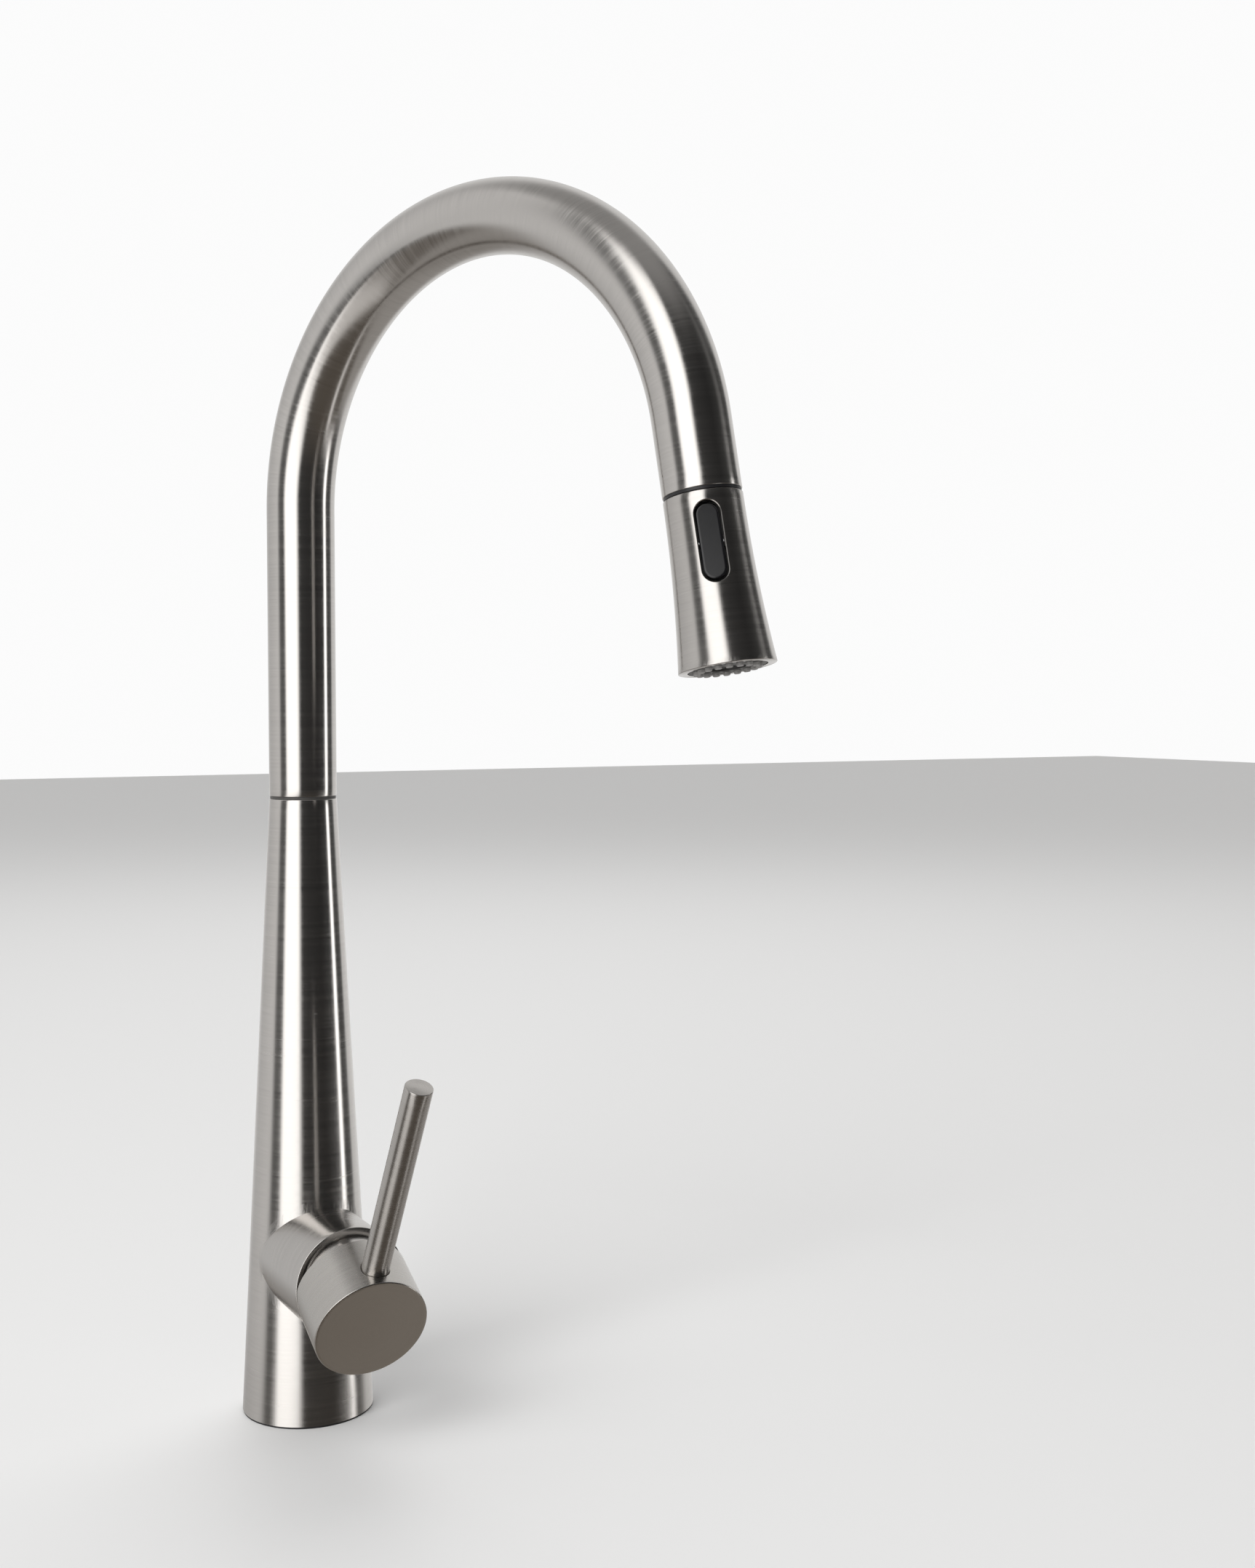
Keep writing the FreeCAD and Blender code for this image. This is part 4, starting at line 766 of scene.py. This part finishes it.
def make_cap():
    """A cup with a rounded face edge, a rear edge in two planes, and round holes in its side."""
    shape = Shape()
    edge = 0.45 * MM
    inside = CAP_RADIUS - CAP_WALL
    split, patch_end, rear_of_edge = 11.3 * MM, 23.5 * MM, 24.8 * MM
    angle = circle_angles(288) - math.pi / 2 - math.radians(45)
    front_wall = CAP_REACH - 2.6 * MM
    screw_hole = 2.5 * MM
    seat = CAP_WALL - 0.1 * MM

    def loop(radius, height):
        return on_circle(radius, angle, height)

    rear = cap_rear(CAP_RADIUS * np.sin(angle))
    inner_rear = cap_rear(inside * np.sin(angle))
    back = [loop(1e-8, front_wall), loop(inside, front_wall)]
    for part in np.linspace(0, 1, 7)[1:]:
        back.append(loop(inside, (1 - part) * front_wall + part * inner_rear))
    bevel = 0.15 * MM
    back.append(loop(CAP_RADIUS - bevel, cap_rear((CAP_RADIUS - bevel) * np.sin(angle))))
    for part in np.linspace(0, 1, 7):
        back.append(loop(CAP_RADIUS, (1 - part) * (rear + bevel) + part * split))
    back = np.array(back)
    add_loops(shape, CAP.carry(back), on_circle(CAP_RADIUS, angle, back[..., 2]))

    along = np.concatenate([np.linspace(split, patch_end, 19),
                            [rear_of_edge, CAP_REACH - edge]])

    def grain(a, b):
        return on_circle(CAP_RADIUS, a, b)

    def surface(a, b):
        return CAP.carry(grain(a, b))

    def round_hole(middle, radius):
        def hole(a, b):
            u, v = (a - middle) * CAP_RADIUS, b - LEVER_PLACE
            size = np.hypot(u, v)
            return (middle + np.arcsin(radius * u / size / CAP_RADIUS),
                    LEVER_PLACE + radius * v / size)
        return hole

    step = 2 * math.pi / 288
    lever_column = round((math.pi / 2 - angle[0]) / step)
    screw_column = round((-math.pi / 2 - angle[0]) / step)
    bevel = 0.3 * MM
    lever_hole = LEVER_RADIUS + 0.08 * MM
    patches = [((lever_column - 16, lever_column + 16), (0, 18),
                round_hole(math.pi / 2, lever_hole + bevel)),
               ((screw_column - 10, screw_column + 10), (3, 15),
                round_hole(-math.pi / 2, screw_hole + bevel))]
    edges = add_punched(shape, surface, grain, angle, along, patches)
    for (a, b), radius in zip(edges, (lever_hole, screw_hole)):
        rim = grain(a, b)
        loops = [rim]
        narrower = radius / (radius + bevel)
        for shrink, depth in ((narrower, bevel), (narrower, seat), (1e-6, seat)):
            ring = rim.copy()
            ring[:, 0] *= shrink
            ring[:, 2] = LEVER_PLACE + (rim[:, 2] - LEVER_PLACE) * shrink
            ring[:, 1] -= depth * np.sign(rim[:, 1])
            loops.append(ring)
        loops[-1][:, 1] = loops[-1][:, 1].mean()
        loops = np.array(loops)
        add_loops(shape, CAP.carry(loops), loops)

    front = []
    for turn in np.radians([0, 18, 36, 54, 72, 90]):
        front.append(loop(CAP_RADIUS - edge * (1 - math.cos(turn)),
                          CAP_REACH - edge * (1 - math.sin(turn))))
    for radius in np.linspace(CAP_RADIUS - edge, 0.2 * MM, 24)[1:]:
        front.append(loop(radius, CAP_REACH))
    front.append(loop(1e-8, CAP_REACH))
    front = np.array(front)
    add_loops(shape, CAP.carry(front), cap_front_grain(front, angle))
    return shape


def cap_front_grain(loops, angle):
    """Around the face, and inwards from its edge."""
    inward = CAP_REACH + CAP_RADIUS - np.hypot(loops[..., 0], loops[..., 1])
    return on_circle(CAP_RADIUS, angle, inward)


handle_cup = make_piece("handle_cup", make_cap(), "handle", cap_steel,
                        ["handle_cap"])
# the front face takes the steel whose darker, browner colour is a painted reflection
handle_cup.data.materials.append(face_steel_painted_reflection)
face_centres = np.empty(len(handle_cup.data.polygons) * 3, np.float32)
handle_cup.data.polygons.foreach_get("center", face_centres)
face_heights = (face_centres.reshape(-1, 3) - CAP.origin) @ CAP.z
handle_cup.data.polygons.foreach_set(
    "material_index", (face_heights > CAP_REACH - 0.02 * MM).astype(np.int32))


def make_lever():
    """The straight pin and the spigot behind its shoulder."""
    shape = Shape()
    shoulder = CAP_RADIUS - CAP_WALL - 0.8 * MM
    spigot_foot, spigot_radius = 10.2 * MM, 3 * MM
    profile = rounded([(0, spigot_foot), (spigot_radius, spigot_foot), (spigot_radius, shoulder),
                       (LEVER_RADIUS, shoulder), (LEVER_RADIUS, LEVER_TIP), (0, LEVER_TIP)],
                      {4: 0.4 * MM})
    stretch = np.linspace(shoulder, LEVER_TIP - 0.4 * MM, 16)[1:-1]
    cut = 4
    profile = np.concatenate([profile[:cut], np.stack([np.full(14, LEVER_RADIUS), stretch], -1),
                              profile[cut:]])
    foot = CAP.carry(np.array([0.0, 0.0, LEVER_PLACE]))
    add_lathe(shape, Axes(foot, CAP.x, CAP.y), profile, 96)
    return shape


make_piece("lever_pin", make_lever(), "handle", lever_steel, ["lever"])


# ---------------------------------------------------------------- spray head

HEAD_BOTTOM = HEAD_TOP + HEAD_LENGTH


def flare(height, wall=False):
    """Radius of the head's shell: an arc that starts along the axis; the inner wall has its own."""
    widening = HEAD_END_RADIUS - TUBE_RADIUS
    start, length, radius = HEAD_TOP, HEAD_LENGTH, TUBE_RADIUS
    if wall:
        start = HEAD_TOP + HEAD_TOP_WALL
        length = HEAD_LENGTH - HEAD_TOP_WALL - HEAD_RIM
        radius = TUBE_RADIUS - HEAD_WALL
    arc = (length ** 2 + widening ** 2) / (2 * widening)
    return radius + arc - np.sqrt(arc ** 2 - (height - start) ** 2)


def oblong_edge(u, v, half_length, half_width):
    """The nearest point of a slot's outline to (u, v), with v counted along the slot."""
    core = np.clip(v, half_width - half_length, half_length - half_width)
    size = np.hypot(u, v - core)
    return half_width * u / size, core + half_width * (v - core) / size


def make_head():
    """The flared shell with its rocker slot, the rim turned in below and the shoulder above."""
    shape = Shape()
    edge = 0.35 * MM
    neck_hole = 9.85 * MM
    count = 192
    angle = circle_angles(count) - math.pi
    slot_columns = (count // 2 - 13, count // 2 + 13)
    slot_reach = ROCKER_HALF_LENGTH + 2 * MM
    slot_rows = np.linspace(ROCKER_PLACE - slot_reach, ROCKER_PLACE + slot_reach, 41)
    half_length, half_width = ROCKER_HALF_LENGTH + 0.6 * MM, ROCKER_HALF_WIDTH + 0.5 * MM

    def wall(inner, grow):
        start = flare_start(inner)
        end = HEAD_BOTTOM - (HEAD_RIM if inner else edge)
        along = np.concatenate([[start], slot_rows, np.linspace(slot_rows[-1], end, 16)[1:]])

        def surface(a, b):
            return HEAD.carry(on_circle(flare(b, inner), a, b))

        def grain(a, b):
            return on_circle(HEAD_END_RADIUS, a, b)

        def hole(a, b):
            radius = flare(b, inner)
            u, v = oblong_edge(radius * np.sin(a), b - ROCKER_PLACE, half_length + grow,
                               half_width + grow)
            height = v + ROCKER_PLACE
            return np.arcsin(u / flare(height, inner)), height

        (a, b), = add_punched(shape, surface, grain, angle, along,
                              [(slot_columns, (1, len(slot_rows)), hole)])
        return on_circle(flare(b, inner), a, b)

    def flare_start(inner):
        return HEAD_TOP + (HEAD_TOP_WALL if inner else edge)

    bevel = 0.3 * MM
    outer_rim = wall(False, bevel)
    inner_rim = wall(True, 0.0)
    neck = inner_rim.copy()
    scale = flare(neck[:, 2]) - bevel
    neck[:, 0] = np.sqrt(scale ** 2 - neck[:, 1] ** 2)
    loops = np.array([outer_rim, neck, inner_rim])
    add_loops(shape, HEAD.carry(loops), loops)

    corner = np.radians([0, 30, 60, 90])
    top = [(TUBE_RADIUS - edge * (1 - math.cos(t)), HEAD_TOP + edge * (1 - math.sin(t)))
           for t in corner]
    top[0] = (flare(HEAD_TOP + edge), HEAD_TOP + edge)
    top += [(neck_hole, HEAD_TOP), (neck_hole, HEAD_TOP + HEAD_TOP_WALL),
            (TUBE_RADIUS - HEAD_WALL, HEAD_TOP + HEAD_TOP_WALL)]
    bottom = [(HEAD_END_RADIUS - edge * (1 - math.cos(t)), HEAD_BOTTOM - edge * (1 - math.sin(t)))
              for t in corner]
    bottom[0] = (flare(HEAD_BOTTOM - edge), HEAD_BOTTOM - edge)
    bottom += [(FACE_BORE, HEAD_BOTTOM), (FACE_BORE, HEAD_BOTTOM - HEAD_RIM),
               (HEAD_END_RADIUS - HEAD_WALL, HEAD_BOTTOM - HEAD_RIM)]
    for profile in (top, bottom):
        profile = np.array(profile)
        loops = on_circle(profile[:, 0:1], angle, profile[:, 1:2])
        grain = on_circle(HEAD_END_RADIUS, angle, path_lengths(profile)[:, None])
        add_loops(shape, HEAD.carry(loops), grain)
    return shape


make_piece("head_sleeve", make_head(), "spray_head", head_steel, ["head_shell"])


def make_rocker():
    """The oblong plate of the rocker, with a dished face and rounded edges.

    The face's depth at v along the plate is sqrt(dish squared - v squared) less its value at the end.
    """
    shape = Shape()
    back, rim, dish, round_size = 1.1 * MM, 2.9 * MM, 185 * MM, 0.55 * MM
    half, wide = ROCKER_HALF_LENGTH, ROCKER_HALF_WIDTH
    core_end = half - wide
    turn = np.linspace(0, math.pi, 33)
    straight = np.linspace(core_end, -core_end, 33)[1:-1]
    core = np.concatenate([np.full(33, core_end), straight, np.full(33, -core_end), -straight])
    across = np.concatenate([np.cos(turn), np.full(31, -1.0), -np.cos(turn), np.full(31, 1.0)])
    upward = np.concatenate([np.sin(turn), np.zeros(31), -np.sin(turn), np.zeros(31)])

    def loop(inset, drop, flat=None):
        y = (wide - inset) * across
        z = core + (wide - inset) * upward
        depth = np.sqrt(dish ** 2 - z ** 2) - math.sqrt(dish ** 2 - half ** 2)
        x = np.full_like(y, flat) if flat is not None else rim - depth - drop
        return np.stack([x, y, z], axis=-1)

    loops = [loop(wide, 0, back), loop(0.2 * MM, 0, back), loop(0, 0, back + 0.2 * MM)]
    for angle in np.radians([0, 15, 30, 45, 60, 75, 90]):
        loops.append(loop(round_size * (1 - math.cos(angle)), round_size * (1 - math.sin(angle))))
    for inset in np.linspace(round_size, wide, 9)[1:]:
        loops.append(loop(inset, 0))
    loops = np.array(loops)
    add_loops(shape, ROCKER.carry(loops), loops)
    return shape


make_piece("rocker_face", make_rocker(), "rocker",
           SLOT_MATERIALS["black_plastic"], ["rocker_button"], sharp=50)


def make_collar():
    """The black ring in the spout's mouth, with a rounded outer lip."""
    shape = Shape()
    inside, seat = 10 * MM, TUBE_RADIUS - TUBE_WALL - 0.05 * MM
    lip, top = TUBE_RADIUS - 0.35 * MM, 1.1 * MM
    profile = rounded([(inside, -9 * MM), (inside + 0.7 * MM, -9 * MM),
                       (inside + 0.7 * MM, -1.5 * MM), (seat, -1.5 * MM), (seat, 0), (lip, 0),
                       (lip, top), (inside, top), (inside, -9 * MM)], {6: 0.25 * MM, 7: 0.25 * MM})
    add_lathe(shape, DOCK, profile, 128)
    return shape


make_piece("spout_collar", make_collar(), "spout", SLOT_MATERIALS["black_matte"],
           ["dock_collar"])


def make_nozzles():
    """The ring behind the face and its soft round-nosed nozzles, each with a small hole."""
    shape = Shape()
    face = HEAD_BOTTOM - 0.1 * MM
    back = face - 3.25 * MM
    add_lathe(shape, HEAD, [(8 * MM, back - 1.5 * MM), (12.5 * MM, back - 1.5 * MM),
                            (12.5 * MM, back), (8 * MM, back), (8 * MM, back - 1.5 * MM)], 96)
    tip = back + 4.5 * MM
    radius = NOZZLE_RADIUS
    nub = rounded([(0, back - 0.5 * MM), (radius, back - 0.5 * MM), (radius, tip),
                   (0.45 * MM, tip), (0.3 * MM, tip - 1.2 * MM), (0, tip - 1.2 * MM)],
                  {2: 0.6 * MM, 3: 0.15 * MM})
    for number in range(NOZZLE_COUNT):
        turn = 2 * math.pi * number / NOZZLE_COUNT
        place = HEAD.carry(on_circle(NOZZLE_CIRCLE, turn, 0))
        add_lathe(shape, Axes(place, HEAD.x, HEAD.z), nub, 28)
    return shape


make_piece("nozzle_ring", make_nozzles(), "spray_head",
           SLOT_MATERIALS["grey_rubber"], ["nozzle_mat"])


# ---------------------------------------------------------------- floor, light and camera

def add_floor():
    """A flat pale floor at the deck's height."""
    mesh = bpy.data.meshes.new("floor")
    size = 6.0
    mesh.from_pydata([(-size, -size, 0), (size, -size, 0), (size, size, 0), (-size, size, 0)], [],
                     [(0, 1, 2, 3)])
    floor = bpy.data.objects.new("floor", mesh)
    bpy.context.scene.collection.objects.link(floor)
    mesh.materials.append(
        start_material("pale_floor", Base_Color=(0.82, 0.82, 0.82, 1), Roughness=0.6)[0])
    floor.visible_glossy = False


def sky_ramp(tree, share, stops):
    """Brightness over the compass, from (degrees, value) pairs, slightly warm."""
    ramp = add_node(tree, "ShaderNodeValToRGB", Fac=share)
    elements = ramp.color_ramp.elements
    elements.remove(elements[-1])
    for number, (degrees, value) in enumerate(stops):
        element = elements[0] if number == 0 else elements.new((degrees + 180) / 360)
        element.position = (degrees + 180) / 360
        element.color = (value, value * 0.995, value * 0.985, 1)
    return ramp.outputs["Color"]


def add_world():
    """A studio sky: soft boxes and dark flags, a grey ceiling, plain to the camera."""
    world = bpy.data.worlds.new("studio")
    world.use_nodes = True
    tree = world.node_tree
    tree.nodes.clear()
    turn, parts = turn_of(tree, tree.nodes.new("ShaderNodeTexCoord").outputs["Generated"])
    up = parts.outputs["Z"]
    share = mapped(tree, turn, (-math.pi, math.pi))
    low = mapped(tree, up, (-0.2, -0.5), (0, 0.65), "SMOOTHSTEP")
    turned = calc(tree, "MULTIPLY_ADD", low, 0.1, share)
    boxes = [(-180, 0.13), (-169, 0.11), (-162, 2.1), (-125, 2.1), (-116, 0.05), (-60, 0.03)]
    strip = [(-27, 0.05), (-24, 3.0), (-18, 3.0), (-14, 0.07)]
    dim_strip = [(-32, 0.05), (-24, 0.16), (-18, 0.16), (-10, 0.06)]
    behind = [(8, 0.1), (16, 0.85), (75, 0.85), (110, 0.62), (165, 0.85), (174, 0.15)]
    ramps = [sky_ramp(tree, turned, boxes + middle + behind) for middle in (strip, dim_strip)]
    around = mixed(tree, mapped(tree, up, (0.12, 0.26), kind="SMOOTHSTEP"), *ramps)
    high = mapped(tree, up, (0.75, 0.95), kind="SMOOTHSTEP")
    sky = mixed(tree, high, around, (0.36, 0.355, 0.35, 1))
    ground = mixed(tree, low, sky, (0.17, 0.145, 0.12, 1))
    seen = tree.nodes.new("ShaderNodeLightPath").outputs["Is Camera Ray"]
    plain = mixed(tree, seen, ground, (0.97, 0.97, 0.97, 1))
    background = add_node(tree, "ShaderNodeBackground", Color=plain)
    add_node(tree, "ShaderNodeOutputWorld", Surface=background.outputs["Background"])
    bpy.context.scene.world = world


def add_soft_light(name, place, target, size, power):
    data = bpy.data.lights.new(name, "AREA")
    data.shape = "RECTANGLE"
    data.size, data.size_y = size
    data.energy = power
    light = bpy.data.objects.new(name, data)
    light.location = place
    aim = Vector(target) - Vector(place)
    light.rotation_euler = aim.to_track_quat("-Z", "Y").to_euler()
    light.visible_glossy = False
    bpy.context.scene.collection.objects.link(light)


def add_camera():
    data = bpy.data.cameras.new("camera")
    data.sensor_fit = "VERTICAL"
    data.sensor_height = 36
    data.lens = 42.45
    camera = bpy.data.objects.new("camera", data)
    camera.location = (-0.2521, -0.7488, 0.3044)
    camera.rotation_euler = (math.radians(90 - 2.825), 0, math.radians(-28.57))
    bpy.context.scene.collection.objects.link(camera)
    bpy.context.scene.camera = camera


bpy.context.scene.view_settings.view_transform = "Standard"
add_floor()
add_world()
add_soft_light("key", (-1.6, -1.1, 1.7), (0.0, -0.05, 0.25), (1.6, 1.6), 30)
add_soft_light("fill", (0.6, 1.2, 2.0), (0.0, 0.0, 0.2), (2.0, 2.0), 14)
add_camera()
